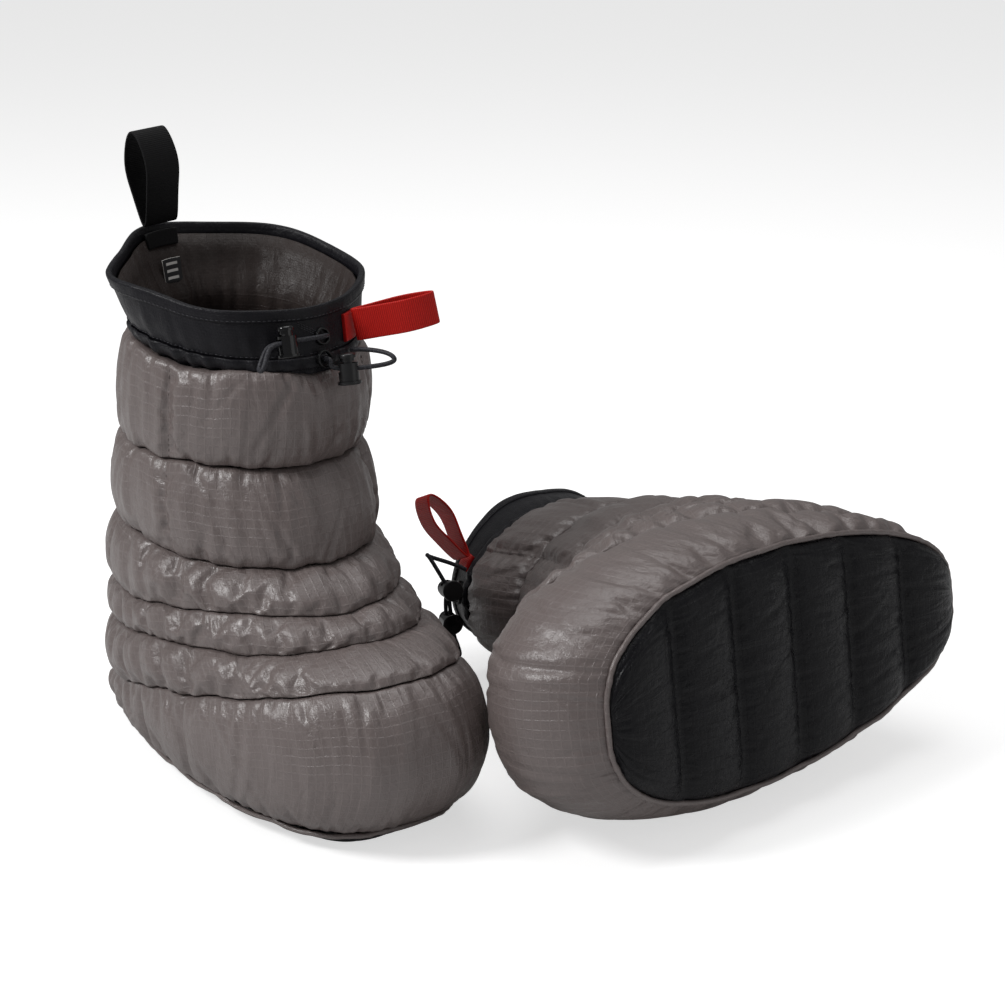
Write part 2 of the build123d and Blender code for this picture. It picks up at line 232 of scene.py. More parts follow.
def blow_cloth(points, quads, pinned, pressure, slack, cap, stiffness=12.0, frames=CLOTH_FRAMES):
    """Blows up a skin held at its pinned points, with slack (a share) more cloth than it starts with.

    Points are millimetres in the boot's frame. No point moves further than cap."""
    scene = bpy.context.scene
    flat = points.reshape(-1, 3)
    mesh = bpy.data.meshes.new("cloth_work")
    mesh.from_pydata((flat * MM * CLOTH_SCALE).tolist(), [], quads.tolist())
    mesh.update()
    skin = bpy.data.objects.new("cloth_work", mesh)
    scene.collection.objects.link(skin)
    group = skin.vertex_groups.new(name="sewn")
    group.add(np.flatnonzero(pinned.reshape(-1)).tolist(), 1.0, "REPLACE")
    cloth = skin.modifiers.new("Cloth", "CLOTH")
    s = cloth.settings
    s.quality = 6
    s.mass = 0.15
    s.air_damping = 6.0
    s.tension_stiffness = s.compression_stiffness = stiffness
    s.shear_stiffness = stiffness * 0.6
    s.bending_stiffness = 0.05
    s.tension_damping = s.compression_damping = s.shear_damping = 12.0
    s.vertex_group_mass = "sewn"
    s.use_pressure = True
    s.uniform_pressure_force = pressure
    s.shrink_min = -slack
    s.effector_weights.gravity = 0.0
    cloth.collision_settings.use_collision = False
    cloth.point_cache.frame_start = 1
    cloth.point_cache.frame_end = frames
    for step in range(1, frames + 1):
        scene.frame_set(step)
    blown = skin.evaluated_get(bpy.context.evaluated_depsgraph_get()).to_mesh()
    out = np.empty(len(blown.vertices) * 3, dtype=np.float32)
    blown.vertices.foreach_get("co", out)
    out = out.reshape(-1, 3).astype(float) / CLOTH_SCALE / MM
    bpy.data.objects.remove(skin, do_unlink=True)
    bpy.data.meshes.remove(mesh)
    scene.frame_set(1)
    move = out - flat
    far = np.linalg.norm(move, axis=1, keepdims=True)
    move *= np.minimum(1.0, cap / np.maximum(far, 1e-9))
    move[pinned.reshape(-1)] = 0
    return (flat + move).reshape(points.shape)


# ------------------------------------------------------------------ materials
def linear(hex_colour, alpha=1.0):
    """sRGB hex to Blender's linear colour."""
    parts = [int(hex_colour[i:i + 2], 16) / 255 for i in (1, 3, 5)]
    return [p / 12.92 if p <= 0.04045 else ((p + 0.055) / 1.055) ** 2.4 for p in parts] + [alpha]


def add_node(tree, kind, inputs=None, **settings):
    """Adds a node: inputs by name or number take a value or another node's output."""
    made = tree.nodes.new(kind)
    for key, value in settings.items():
        setattr(made, key, value)
    for key, value in (inputs or {}).items():
        if isinstance(value, bpy.types.NodeSocket):
            tree.links.new(value, made.inputs[key])
        else:
            made.inputs[key].default_value = value
    return made


def new_material(name, hex_colour, roughness, **sockets):
    material = bpy.data.materials.new(name)
    material.use_nodes = True
    tree = material.node_tree
    surface = tree.nodes["Principled BSDF"]
    surface.inputs["Base Color"].default_value = linear(hex_colour)
    surface.inputs["Roughness"].default_value = roughness
    for key, value in sockets.items():
        surface.inputs[key.replace("_", " ")].default_value = value
    material.diffuse_color = linear(hex_colour)
    return material, tree, surface


def math_node(tree, operation, a, b=0.0, c=0.0):
    return add_node(tree, "ShaderNodeMath", {0: a, 1: b, 2: c}, operation=operation).outputs[0]


def line_mask(tree, coordinate, pitch, share):
    """1 on threads that lie every pitch along a coordinate, each share of the pitch wide."""
    scaled = math_node(tree, "DIVIDE", coordinate, pitch)
    wave = math_node(tree, "PINGPONG", scaled, 0.5)
    ramp = add_node(tree, "ShaderNodeMapRange", {
        "Value": wave, "From Min": share * 0.5, "From Max": share * 0.5 + 0.03,
        "To Min": 1.0, "To Max": 0.0,
    }, interpolation_type="SMOOTHSTEP")
    return ramp.outputs[0]


def ripstop(name, base, thread, worn, roughness, pitch, bump=0.35, gloss=0.2, sheen=0.0, spread=0.3,
            pleats=2.5):
    """Ripstop nylon: plain weave with doubled threads that draw a small square grid.

    The grid is slightly raised and a little lighter in colour; the filled cloth is calendered, so it has a
    satin sheen."""
    material, tree, surface = new_material(name, base, roughness, Specular_IOR_Level=gloss,
                                              Sheen_Weight=sheen, Sheen_Roughness=0.4)
    uv = add_node(tree, "ShaderNodeUVMap", uv_map="cloth").outputs[0]
    parts = add_node(tree, "ShaderNodeSeparateXYZ", {0: uv})
    across = line_mask(tree, parts.outputs[0], pitch, 0.12)
    along = line_mask(tree, parts.outputs[1], pitch, 0.12)
    squares = math_node(tree, "MAXIMUM", across, along)
    place = add_node(tree, "ShaderNodeTexCoord").outputs["Object"]
    cloudy = add_node(tree, "ShaderNodeTexNoise", {"Vector": place, "Scale": 14.0, "Detail": 4.0})
    crinkle = add_node(tree, "ShaderNodeTexNoise", {"Vector": place, "Scale": 190.0, "Detail": 5.0,
                                                     "Roughness": 0.62, "Distortion": 0.6})
    weave = add_node(tree, "ShaderNodeTexNoise", {"Vector": place, "Scale": 1500.0, "Detail": 2.0})
    drawn = add_node(tree, "ShaderNodeMapping", {"Vector": uv, "Scale": (1.0, 0.38, 1.0)})
    pleat = add_node(tree, "ShaderNodeTexNoise", {"Vector": drawn.outputs[0], "Scale": 95.0, "Detail": 3.0,
                                                  "Roughness": 0.45, "Distortion": 1.1})
    tone = add_node(tree, "ShaderNodeMix", {"Factor": cloudy.outputs["Fac"], "A": linear(base),
                                            "B": linear(worn)}, data_type="RGBA")
    mixed = add_node(tree, "ShaderNodeMix", {
        "Factor": math_node(tree, "MULTIPLY", squares, spread), "A": tone.outputs["Result"],
        "B": linear(thread),
    }, data_type="RGBA")
    tree.links.new(mixed.outputs["Result"], surface.inputs["Base Color"])
    rough = add_node(tree, "ShaderNodeMapRange", {
        "Value": crinkle.outputs["Fac"], "From Min": 0.3, "From Max": 0.7,
        "To Min": roughness - 0.05, "To Max": roughness + 0.07,
    })
    tree.links.new(rough.outputs[0], surface.inputs["Roughness"])
    height = math_node(tree, "ADD", math_node(tree, "MULTIPLY", squares, 0.25),
                       math_node(tree, "MULTIPLY", crinkle.outputs["Fac"], 1.1))
    height = math_node(tree, "ADD", height, math_node(tree, "MULTIPLY", weave.outputs["Fac"], 0.15))
    height = math_node(tree, "ADD", height, math_node(tree, "MULTIPLY", pleat.outputs["Fac"], pleats))
    bumped = add_node(tree, "ShaderNodeBump", {"Strength": bump, "Distance": 0.0012, "Height": height})
    tree.links.new(bumped.outputs[0], surface.inputs["Normal"])
    return material


def webbing(name, base, rib_valley_shade, rib, roughness, sheen=0.0):
    """Grosgrain nylon webbing: cross ribs every millimetre or so, with a bound edge; the valleys between the
    ribs take a darker colour, which is painted shade.
    """
    material, tree, surface = new_material(name, base, roughness, Specular_IOR_Level=0.2, Sheen_Weight=sheen)
    uv = add_node(tree, "ShaderNodeUVMap", uv_map="cloth").outputs[0]
    parts = add_node(tree, "ShaderNodeSeparateXYZ", {0: uv})
    ribs = math_node(tree, "PINGPONG", math_node(tree, "DIVIDE", parts.outputs[0], rib), 0.5)
    threads = math_node(tree, "PINGPONG", math_node(tree, "DIVIDE", parts.outputs[1], rib * 0.45), 0.5)
    # painted shade: the valleys between the ribs take the second, darker colour
    tone = add_node(tree, "ShaderNodeMix", {
        "Factor": math_node(tree, "MULTIPLY", ribs, 1.6), "A": linear(rib_valley_shade), "B": linear(base),
    }, data_type="RGBA")
    tree.links.new(tone.outputs["Result"], surface.inputs["Base Color"])
    height = math_node(tree, "ADD", ribs, math_node(tree, "MULTIPLY", threads, 0.3))
    bumped = add_node(tree, "ShaderNodeBump", {"Strength": 0.6, "Distance": 0.0004, "Height": height})
    tree.links.new(bumped.outputs[0], surface.inputs["Normal"])
    return material


def moulded(name, base, roughness, grain=900.0):
    """Moulded acetal: near-black, glossy, with a faint mould grain."""
    material, tree, surface = new_material(name, base, roughness, Specular_IOR_Level=0.5)
    place = add_node(tree, "ShaderNodeTexCoord").outputs["Object"]
    speck = add_node(tree, "ShaderNodeTexNoise", {"Vector": place, "Scale": grain, "Detail": 3.0})
    rough = add_node(tree, "ShaderNodeMapRange", {"Value": speck.outputs["Fac"], "To Min": roughness - 0.06,
                                                  "To Max": roughness + 0.1})
    tree.links.new(rough.outputs[0], surface.inputs["Roughness"])
    bumped = add_node(tree, "ShaderNodeBump", {"Strength": 0.15, "Distance": 0.0002,
                                               "Height": speck.outputs["Fac"]})
    tree.links.new(bumped.outputs[0], surface.inputs["Normal"])
    return material


def braid(name, base, fleck):
    """Braided cover of elastic cord: crossing strands that show as small diamonds."""
    material, tree, surface = new_material(name, base, 0.5, Specular_IOR_Level=0.3)
    place = add_node(tree, "ShaderNodeTexCoord").outputs["Object"]
    cells = add_node(tree, "ShaderNodeTexVoronoi", {"Vector": place, "Scale": 1100.0})
    tone = add_node(tree, "ShaderNodeMix", {"Factor": cells.outputs["Distance"], "A": linear(base),
                                            "B": linear(fleck)}, data_type="RGBA")
    tree.links.new(tone.outputs["Result"], surface.inputs["Base Color"])
    bumped = add_node(tree, "ShaderNodeBump", {"Strength": 0.5, "Distance": 0.0004,
                                               "Height": cells.outputs["Distance"]})
    tree.links.new(bumped.outputs[0], surface.inputs["Normal"])
    return material


MATERIALS = {}


def dress(piece, name):
    piece.data.materials.clear()
    piece.data.materials.append(MATERIALS[name])
    return piece


# ------------------------------------------------------------------ filled baffles
# name: lower seam, upper seam, swelling at the toe side and elsewhere, rows, turns of upright
# seams, the most that its cloth may blow out (mm), depth of its creases (mm)
BAFFLES = {
    "toe_rand": ("sole_edge", "rand_top", (24, 8), 36, (-172,), 3.5, 4.2),
    "vamp_lower_baffle": ("rand_top", "vamp_middle", (6, 7), 18, (-52,), 2.5, 2.8),
    "vamp_upper_baffle": ("vamp_middle", "vamp_top", (5, 5), 16, (-60,), 2.5, 2.5),
    "ankle_baffle": ("vamp_top", "ankle_top", (5, 6), 20, (-67, 46, 168), 2.5, 2.8),
    "shaft_lower_baffle": ("ankle_top", "shaft_middle", (5, 6), 24, (-72, 43, 168), 2.5, 3.4),
    "shaft_upper_baffle": ("shaft_middle", "collar_base", (7, 4), 24, (-72, 43, 168), 2.5, 3.4),
}
FOOT_BAFFLES = ("toe_rand", "vamp_lower_baffle", "vamp_upper_baffle")
INNER_FACE = 9.0        # from a seam in to a baffle's inner face (mm)
SKINS = {}              # the outer face of each baffle, for the thread that is laid on it


def creases(skin, angles, depth, seed):
    """How far each point of a skin is pressed in by the short creases that both its seams gather.

    A crease is a narrow dent between two low ridges. It starts at a seam, leans a little to one
    side, and fades up the cloth over its own seeded reach."""
    rng = np.random.default_rng(seed)
    up = np.linalg.norm(np.diff(skin, axis=0), axis=-1).mean(1)
    climb = np.concatenate([[0], np.cumsum(up)])
    middle = skin[len(skin) // 2]
    radius = np.linalg.norm(middle - np.roll(middle, 1, 0), axis=1).sum() / (2 * pi)
    total = np.zeros(skin.shape[:2])
    for away in (climb, climb[-1] - climb):
        count = int(2 * pi * radius / 9)
        at = (np.arange(count) + rng.uniform(0.0, 1.0, count)) * 2 * pi / count
        reach = 4 + rng.gamma(1.6, 0.16 * climb[-1], count)
        width = rng.uniform(1.5, 3.4, count) / radius
        lean = rng.normal(0, 0.4, count) / radius
        deep = depth * rng.uniform(0.3, 1.0, count)
        gap = angles - at[:, None, None] - lean[:, None, None] * away[:, None]
        gap = ((gap + pi) % (2 * pi) - pi) / width[:, None, None]
        dent = np.exp(-gap ** 2) - 0.42 * np.exp(-(gap / 2.3) ** 2)
        fade = np.exp(-(away[:, None] / reach[:, None, None]) ** 1.5) * (away / (away + 1.5))[:, None]
        total += (deep[:, None, None] * fade * dent).sum(0)
    return total


def swollen_skin(boot, name, columns, settings):
    """The outer skin of one baffle: seam rings with a parabola between them, blown up as cloth."""
    low, high, puff, rows, joins, cap, depth = BAFFLES[name]
    angles = np.arange(columns) * 2 * pi / columns
    shares = np.linspace(0, 1, rows + 1)
    skin = ring_points(boot, seam_mix(low, high, shares, (puff[0] * 0.9, puff[1] * 0.8)), angles)
    rise = (seam_ripple(low, angles) * (1 - shares[:, None])
            + seam_ripple(high, angles) * shares[:, None])
    skin[..., 2] += rise
    skin_seed = SEAM_NAMES.index(low) * 11 + (0 if boot is UPRIGHT else 5)
    swell = np.sin(pi * shares)[:, None]
    centre = skin.mean(1, keepdims=True)
    outward = skin - centre
    outward[..., 2] = 0
    outward /= np.linalg.norm(outward, axis=-1, keepdims=True)
    jitter = 0.7 * noise_round(angles, skin_seed, 14, 40) + 0.5 * noise_round(angles, skin_seed + 1, 4, 9)
    skin += outward * (swell * jitter)[..., None]
    pinned = np.zeros(skin.shape[:2], bool)
    pinned[[0, -1]] = True
    for turn in joins:
        gap = np.abs((np.degrees(angles) - turn + 180) % 360 - 180)
        column = int(gap.argmin())
        pinned[:, column] = True
        dip = 2.2 * swell[:, 0] * (0.7 + 0.3 * np.cos(shares * 40))
        skin[:, column] -= outward[:, column] * dip[:, None]
    quads = grid_quads(rows + 1, columns, True)[0]
    skin = blow_cloth(skin, quads, pinned, settings.pressure, settings.slack, cap * settings.cap)
    lumps = 0.9 * swell * noise_round(angles, skin_seed + 2, 3, 12)
    skin = skin + outward * (lumps - creases(skin, angles, depth * settings.crease, skin_seed + 3))[..., None]
    return skin, angles


def make_baffle(boot, name, settings):
    low, high, rows = BAFFLES[name][0], BAFFLES[name][1], BAFFLES[name][3]
    columns = 300 if name in FOOT_BAFFLES else 240
    skin, angles = swollen_skin(boot, name, columns, settings)
    SKINS[boot.name, name] = (skin, angles)
    inside = ring_points(boot, seam_mix(low, high, np.array([1.0, 0.5, 0.0])), angles,
                         inset=INNER_FACE)
    points = np.concatenate([skin, inside])
    quads, rows_at, columns_at = grid_quads(len(points), columns, True, True)
    around = np.linalg.norm(np.diff(skin[rows // 2], axis=0, append=skin[rows // 2][:1]), axis=1)
    along_u = np.concatenate([[0], np.cumsum(around)]) * MM
    up = np.linalg.norm(np.diff(points[:, 0], axis=0), axis=1)
    along_v = np.concatenate([[0], np.cumsum(up), [0]]) * MM
    offset = SEAM_NAMES.index(low) * 0.0013
    uv = np.stack([along_u[columns_at] + offset, along_v[rows_at]], -1)
    piece = mesh_piece(f"{boot.name}_{name}_cloth", boot.rested(points), quads, uv)
    subdivide(piece)
    dress(piece, "taupe_ripstop")
    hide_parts(f"{boot.name}_{name}")
    if name == "ankle_baffle":
        boot.body("foot")
        boot.body("shaft")
        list(ankle_span(boot))
        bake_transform(piece)
    else:
        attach(piece, boot.body("foot" if name in FOOT_BAFFLES else "shaft"))
    return piece


class BaffleSettings(bpy.types.PropertyGroup):
    """How full and how loosely sewn the down baffles are."""
    colour: bpy.props.StringProperty(name="Cloth colour", description="sRGB hex of the shell cloth",
                                     default="#625856")
    pressure: bpy.props.FloatProperty(name="Fill pressure", description="How hard the down pushes out",
                                      default=3.0)
    slack: bpy.props.FloatProperty(name="Slack", description="Cloth sewn in beyond the seam's length",
                                   default=0.09, subtype="FACTOR")
    cap: bpy.props.FloatProperty(name="Greatest swell", description="Share of each baffle's limit",
                                 default=1.0)
    crease: bpy.props.FloatProperty(name="Creases", description="Share of each baffle's crease depth",
                                    default=1.0)
    grid: bpy.props.FloatProperty(name="Ripstop grid", description="Spacing of the doubled threads",
                                  default=0.005, unit="LENGTH")


class BOOTS_OT_baffles(bpy.types.Operator):
    """Sews and fills the taupe baffles of both boots"""
    bl_idname = "boots.baffles"
    bl_label = "Filled baffles"

    def execute(self, context):
        for boot in BOOTS:
            for name in BAFFLES:
                make_baffle(boot, name, context.scene.boot_baffles)
        return {"FINISHED"}


# ------------------------------------------------------------------ quilted sole
def sole_skins(settings):
    """The sole's plan as rows across the foot; each channel is an arch down from its two seams."""
    heel, toe = SEAMS["sole_edge"][2:4]
    per_channel, across = 15, 72
    x = np.linspace(heel + 0.6, toe - 0.6, SOLE_CHANNELS * per_channel + 1)
    half, narrowing, square = SEAMS["sole_edge"][4:]
    c = (x - (heel + toe) / 2) / ((toe - heel) / 2)
    edge = half * (1 - narrowing * (1 - c) / 2) * np.sqrt(1 - c ** 2) ** square
    t = np.sin(np.linspace(-pi / 2, pi / 2, across + 1))
    step = (np.arange(len(x)) % per_channel) / per_channel
    arch = 4 * step * (1 - step)
    down = CHANNEL_SEAM - CHANNEL_DROP * arch ** 0.62
    rim = np.sqrt(np.clip(1 - np.abs(t) ** 7, 0, 1))
    bottom = np.stack([
        x[:, None] + 0 * t, edge[:, None] * t, SOLE_TOP - (SOLE_TOP - down[:, None]) * rim,
    ], -1)
    pinned = np.zeros(bottom.shape[:2], bool)
    pinned[:, [0, -1]] = True
    pinned[[0, -1]] = True
    pinned[::per_channel] = True
    quads = grid_quads(len(x), across + 1, False)[0][:, ::-1]
    blown = blow_cloth(bottom, quads, pinned, settings.pressure, settings.slack, 1.4)
    round_turns = np.linspace(0, 2 * pi, across + 2)[:-1]
    for channel in range(SOLE_CHANNELS):
        block = slice(channel * per_channel, (channel + 1) * per_channel + 1)
        blown[block, :, 2] += creases(blown[block], round_turns, 2.6, 40 + channel) * rim
    blown[..., 2] = np.clip(blown[..., 2], 0.15, SOLE_TOP)
    top = np.stack([x[:, None] + 0 * t, edge[:, None] * t, SOLE_TOP + 0 * (x[:, None] + t)], -1)
    return blown, top[:, ::-1][:, 1:-1], x, t


def make_sole(boot, settings):
    bottom, top, x, t = sole_skins(settings)
    points = np.concatenate([bottom[:, ::-1], top[:, ::-1]], 1)
    rows, columns = points.shape[:2]
    quads, rows_at, columns_at = grid_quads(rows, columns, True)
    width = bottom.shape[1]
    low = np.arange(width)
    high = np.concatenate([[0], columns - np.arange(1, width - 1), [width - 1]])
    caps = np.stack([low[:-1], high[:-1], high[1:], low[1:]], -1)
    ends = [[corner for k, corner in enumerate(cap) if corner not in cap[:k]]
            for cap in np.concatenate([caps, (caps + (rows - 1) * columns)[:, ::-1]]).tolist()]
    steps = np.linalg.norm(np.diff(points[rows // 2], axis=0), axis=1)
    across = np.concatenate([[0], np.cumsum(steps), [0.3]])
    uv_body = np.stack([across[columns_at] * MM, x[np.clip(rows_at, 0, rows - 1)] * MM], -1).reshape(-1, 2)
    faces = quads.tolist() + ends
    mesh = bpy.data.meshes.new(f"{boot.name}_sole_quilt_cloth")
    mesh.from_pydata(boot.rested(boot.settle(points, 0.0)).reshape(-1, 3).tolist(), [], faces)
    layer = mesh.uv_layers.new(name="cloth")
    uv = np.zeros((len(mesh.loops), 2), dtype=np.float32)
    uv[:len(uv_body)] = uv_body
    layer.data.foreach_set("uv", uv.reshape(-1))
    mesh.polygons.foreach_set("use_smooth", np.ones(len(mesh.polygons), bool))
    mesh.update()
    piece = bpy.data.objects.new(mesh.name, mesh)
    bpy.context.collection.objects.link(piece)
    subdivide(piece)
    dress(piece, "black_ripstop")
    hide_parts(f"{boot.name}_sole_quilt")
    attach(piece, boot.body("foot"))
    return piece


def make_insole(boot):
    """A crowned foam pad: a flat plan with rolled edges, its upper face dished under the heel."""
    numbers = np.array(SEAMS["sole_edge"], float)
    angles = np.arange(120) * 2 * pi / 120
    profile = [(0.0, SOLE_TOP + 0.2), (0.0, SOLE_TOP + 5.5), (2.5, SOLE_TOP + 7.8), (9.0, SOLE_TOP + 8.0)]
    profile += [(9.0 + 8.0 * k, SOLE_TOP + 8.0 - 0.25 * k) for k in range(1, 4)]
    rings = [ring_points(boot, numbers, angles, inset=WALL + LINING + 9 + depth, lift=z - 12)
             for depth, z in profile]
    middle = rings[-1].mean(0, keepdims=True) + 0 * rings[-1]
    squeeze = [rings[-1] + (middle - rings[-1]) * share for share in (0.35, 0.7, 0.97)]
    foot = rings[0].mean(0, keepdims=True) + (rings[0] - rings[0].mean(0, keepdims=True)) * 0.02
    points = np.stack([foot] + rings + squeeze)
    quads, rows_at, columns_at = grid_quads(len(points), 120, True)
    caps = np.stack([np.arange(119, -1, -1), np.arange(120) + (len(points) - 1) * 120])
    mesh = bpy.data.meshes.new(f"{boot.name}_insole_pad")
    mesh.from_pydata(boot.row(points).reshape(-1, 3).tolist(), [], quads.tolist() + caps.tolist())
    layer = mesh.uv_layers.new(name="cloth")
    uv = np.zeros((len(mesh.loops), 2), dtype=np.float32)
    uv[:quads.size] = np.stack([columns_at * 0.005, rows_at * 0.006], -1).reshape(-1, 2)
    layer.data.foreach_set("uv", uv.reshape(-1))
    mesh.polygons.foreach_set("use_smooth", np.ones(len(mesh.polygons), bool))
    piece = bpy.data.objects.new(mesh.name, mesh)
    bpy.context.collection.objects.link(piece)
    dress(piece, "insole_foam")
    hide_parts(f"{boot.name}_foam_insole")
    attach(piece, boot.body("foot"))


class SoleSettings(bpy.types.PropertyGroup):
    """How full the sole's channels are."""
    pressure: bpy.props.FloatProperty(name="Fill pressure", description="How hard the fill pushes out",
                                      default=2.5)
    slack: bpy.props.FloatProperty(name="Slack", description="Cloth sewn in beyond the flat plan",
                                   default=0.07, subtype="FACTOR")


class BOOTS_OT_soles(bpy.types.Operator):
    """Quilts the soles and lays the insoles"""
    bl_idname = "boots.soles"
    bl_label = "Quilted soles"

    def execute(self, context):
        for boot in BOOTS:
            make_sole(boot, context.scene.boot_soles)
            make_insole(boot)
        return {"FINISHED"}


# ------------------------------------------------------------------ places on the collar
def calm(angles):
    """Less waviness where the drawcords and the front loop hold the collar."""
    turn = (np.degrees(angles) - 8 + 180) % 360 - 180
    return 1 - 0.85 * np.exp(-(turn / 34) ** 2)


def collar_cloth(boot, angles, levels, out=0.0, wavy=1.0):
    """Points of the collar: straight lines from base ring to rim ring, gathered at the cinched base.

    The gathers die away up the cloth while slow waves in and out, and up and down, grow to the rim."""
    angles, levels = np.asarray(angles, float), np.asarray(levels, float)
    low = ring_points(boot, SEAMS["collar_base"], angles)
    high = ring_points(boot, SEAMS["rim"], angles)
    nudge = 0.02
    side = (ring_points(boot, SEAMS["collar_base"], angles + nudge) - low)
    side += ring_points(boot, SEAMS["rim"], angles + nudge) - high
    outward = np.cross(side, high - low)
    outward /= np.linalg.norm(outward, axis=-1, keepdims=True)
    level = levels[:, None]
    share = np.clip(level, 0, 1)
    wave = 1.0 * np.exp(-share / 0.30) * noise_round(angles, 70, 26, 52) * (1 - 0.4 * (1 - calm(angles)))
    wave = wave + 0.5 * np.exp(-share / 0.7) * noise_round(angles, 75, 14, 30)
    wave = wave + 3.6 * share ** 1.6 * noise_round(angles, 71, 3, 6) * calm(angles)
    wave = wave + calm(angles) * (3.0 * share - 4.5 * np.exp(-(share / 0.3) ** 2))
    lift = 2.6 * share * noise_round(angles, 72, 2, 5) * calm(angles)
    out = np.asarray(out, float)
    out = out[:, None] if out.ndim and len(out) == len(levels) else out
    points = low + (high - low) * level[..., None] + outward * (out + wavy * wave)[..., None]
    rise = (high - low) / np.linalg.norm(high - low, axis=-1, keepdims=True)
    return points + rise * (wavy * lift)[..., None]


class Spot:
    """A place on a boot's collar, with its outward, sideways and up directions."""

    def __init__(self, boot, turn, share, out=0.0):
        def on_cloth(angle, level):
            low = ring_points(boot, SEAMS["collar_base"], np.array([angle]))[0]
            high = ring_points(boot, SEAMS["rim"], np.array([angle]))[0]
            return low + (high - low) * level

        angle = radians(turn)
        here = on_cloth(angle, share)
        side = on_cloth(angle + 0.02, share) - on_cloth(angle - 0.02, share)
        self.side = side / np.linalg.norm(side)
        outward = np.cross(self.side, on_cloth(angle, share + 0.02) - here)
        self.out = outward / np.linalg.norm(outward)
        self.up = np.cross(self.out, self.side)
        self.origin = here + self.out * out
        self.boot = boot

    def point(self, out=0.0, side=0.0, up=0.0):
        return self.origin + self.out * out + self.side * side + self.up * up


# ------------------------------------------------------------------ collar and lining
def shell_piece(boot, name, rings, node, look, tile=(1, 1)):
    """A closed sleeve through rings of points given round its cross-section, in boot millimetres."""
    points = np.stack(rings)
    rows, columns = points.shape[:2]
    quads, rows_at, columns_at = grid_quads(rows, columns, True, True)
    step = np.linalg.norm(np.diff(points.mean(0), axis=0), axis=1).mean() * MM
    rise = np.concatenate([[0], np.cumsum(np.linalg.norm(np.diff(points[:, 0], axis=0), axis=1)), [0]]) * MM
    uv = np.stack([columns_at * step * tile[0], rise[rows_at] * tile[1]], -1)
    piece = mesh_piece(f"{boot.name}_{name}", boot.rested(points), quads, uv)
    dress(piece, look)
    if node:
        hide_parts(f"{boot.name}_{node}")
    return piece


def make_collar(boot):
    angles = np.arange(360) * 2 * pi / 360
    up = np.linspace(-0.05, 0.985, 16)
    outer = list(collar_cloth(boot, angles, up))
    inner = list(collar_cloth(boot, angles, up[::-1], -1.3))
    piece = shell_piece(boot, "collar_cloth", outer + inner, "collar", "collar_nylon")
    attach(piece, boot.body("shaft"))

    profile = [(0.80, 0.15), (0.802, 0.95), (0.90, 1.15), (0.985, 1.1), (1.005, 0.6), (1.012, -0.8),
               (1.005, -2.2), (0.985, -2.9), (0.90, -2.9), (0.84, -2.7), (0.84, -1.2)]
    levels, outs = np.array(profile).T
    hem = list(collar_cloth(boot, angles, levels, outs))
    piece = shell_piece(boot, "rim_binding", hem, "rim_hem", "collar_nylon")
    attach(subdivide(piece), boot.body("shaft"))

    profile = [(0.015, 0.1), (0.02, 1.9), (0.06, 2.9), (0.125, 3.2), (0.19, 2.7), (0.225, 1.7), (0.235, 0.1)]
    levels, outs = np.array(profile).T
    gather = 0.55 * noise_round(angles, 80, 24, 50)
    tunnel = collar_cloth(boot, angles, levels, outs, 1.0)
    centre = tunnel.mean((0, 1))
    push = tunnel - centre
    push /= np.linalg.norm(push, axis=-1, keepdims=True)
    belly = np.clip(outs / 3.2, 0, 1)[:, None] * gather * np.clip(calm(angles) + 0.2, 0, 1)
    tunnel = tunnel + push * belly[..., None]
    piece = shell_piece(boot, "waist_casing", list(tunnel), "waist_tunnel", "collar_nylon")
    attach(subdivide(piece), boot.body("shaft"))


def lining_rings(boot, angles, steps, thick, seed):
    """The lining's two skins, the one against the fill first, with gathers that run up the boot.

    Each ring is at (lower seam, upper seam, share of the way up, inset)."""
    rings = []
    gathers = 0.9 * noise_round(angles, seed, 26, 48) + 0.7 * noise_round(angles, seed + 1, 8, 20)
    for skin, more in ((0, 0.0), (1, thick)):
        made = []
        for k, (low, high, share, inset) in enumerate(steps):
            numbers = seam_mix(low, high, np.array([share]))
            depth = 0.35 + 0.65 * sin(pi * (k + 0.5) / len(steps))
            waves = gathers * depth * (0.8 if inset > 6 else 0.25)
            if low == "collar_base":
                made.append(collar_cloth(boot, angles, np.array([share]), -(inset + more + waves))[0])
            else:
                made.append(ring_points(boot, numbers, angles, inset=inset + more + waves)[0])
        rings.append(made)
    return rings[0] + rings[1][::-1]


LININGS = {
    "lining_foot": [("sole_edge", "rand_top", 0.02, 11.5), ("sole_edge", "rand_top", 0.35, 11.0),
                    ("sole_edge", "rand_top", 0.7, 11.0), ("rand_top", "vamp_middle", 0.0, 11.5),
                    ("rand_top", "vamp_middle", 0.5, 11.0), ("vamp_middle", "vamp_top", 0.0, 11.5),
                    ("vamp_middle", "vamp_top", 0.5, 11.0), ("vamp_middle", "vamp_top", 0.98, 11.5)],
    "lining_ankle": [("vamp_top", "ankle_top", share, 11.2) for share in (0.02, 0.25, 0.5, 0.75, 0.98)],
    "lining_shaft": [("ankle_top", "shaft_middle", share, 11.2) for share in (0.02, 0.3, 0.6, 0.9)]
    + [("shaft_middle", "collar_base", share, 11.2) for share in (0.1, 0.4, 0.7, 0.98)]
    + [("collar_base", "rim", share, 11.2 - 8.6 * share) for share in (0.15, 0.35, 0.6, 0.86)],
}


def make_linings(boot):
    angles = np.arange(260) * 2 * pi / 260
    for k, (name, steps) in enumerate(LININGS.items()):
        rings = lining_rings(boot, angles, steps, 1.0, 90)
        piece = shell_piece(boot, name + "_cloth", rings, name, "lining_taffeta")
        if name == "lining_ankle":
            boot.body("foot")
            boot.body("shaft")
            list(ankle_span(boot))
            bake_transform(piece)
        else:
            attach(piece, boot.body("foot" if name == "lining_foot" else "shaft"))


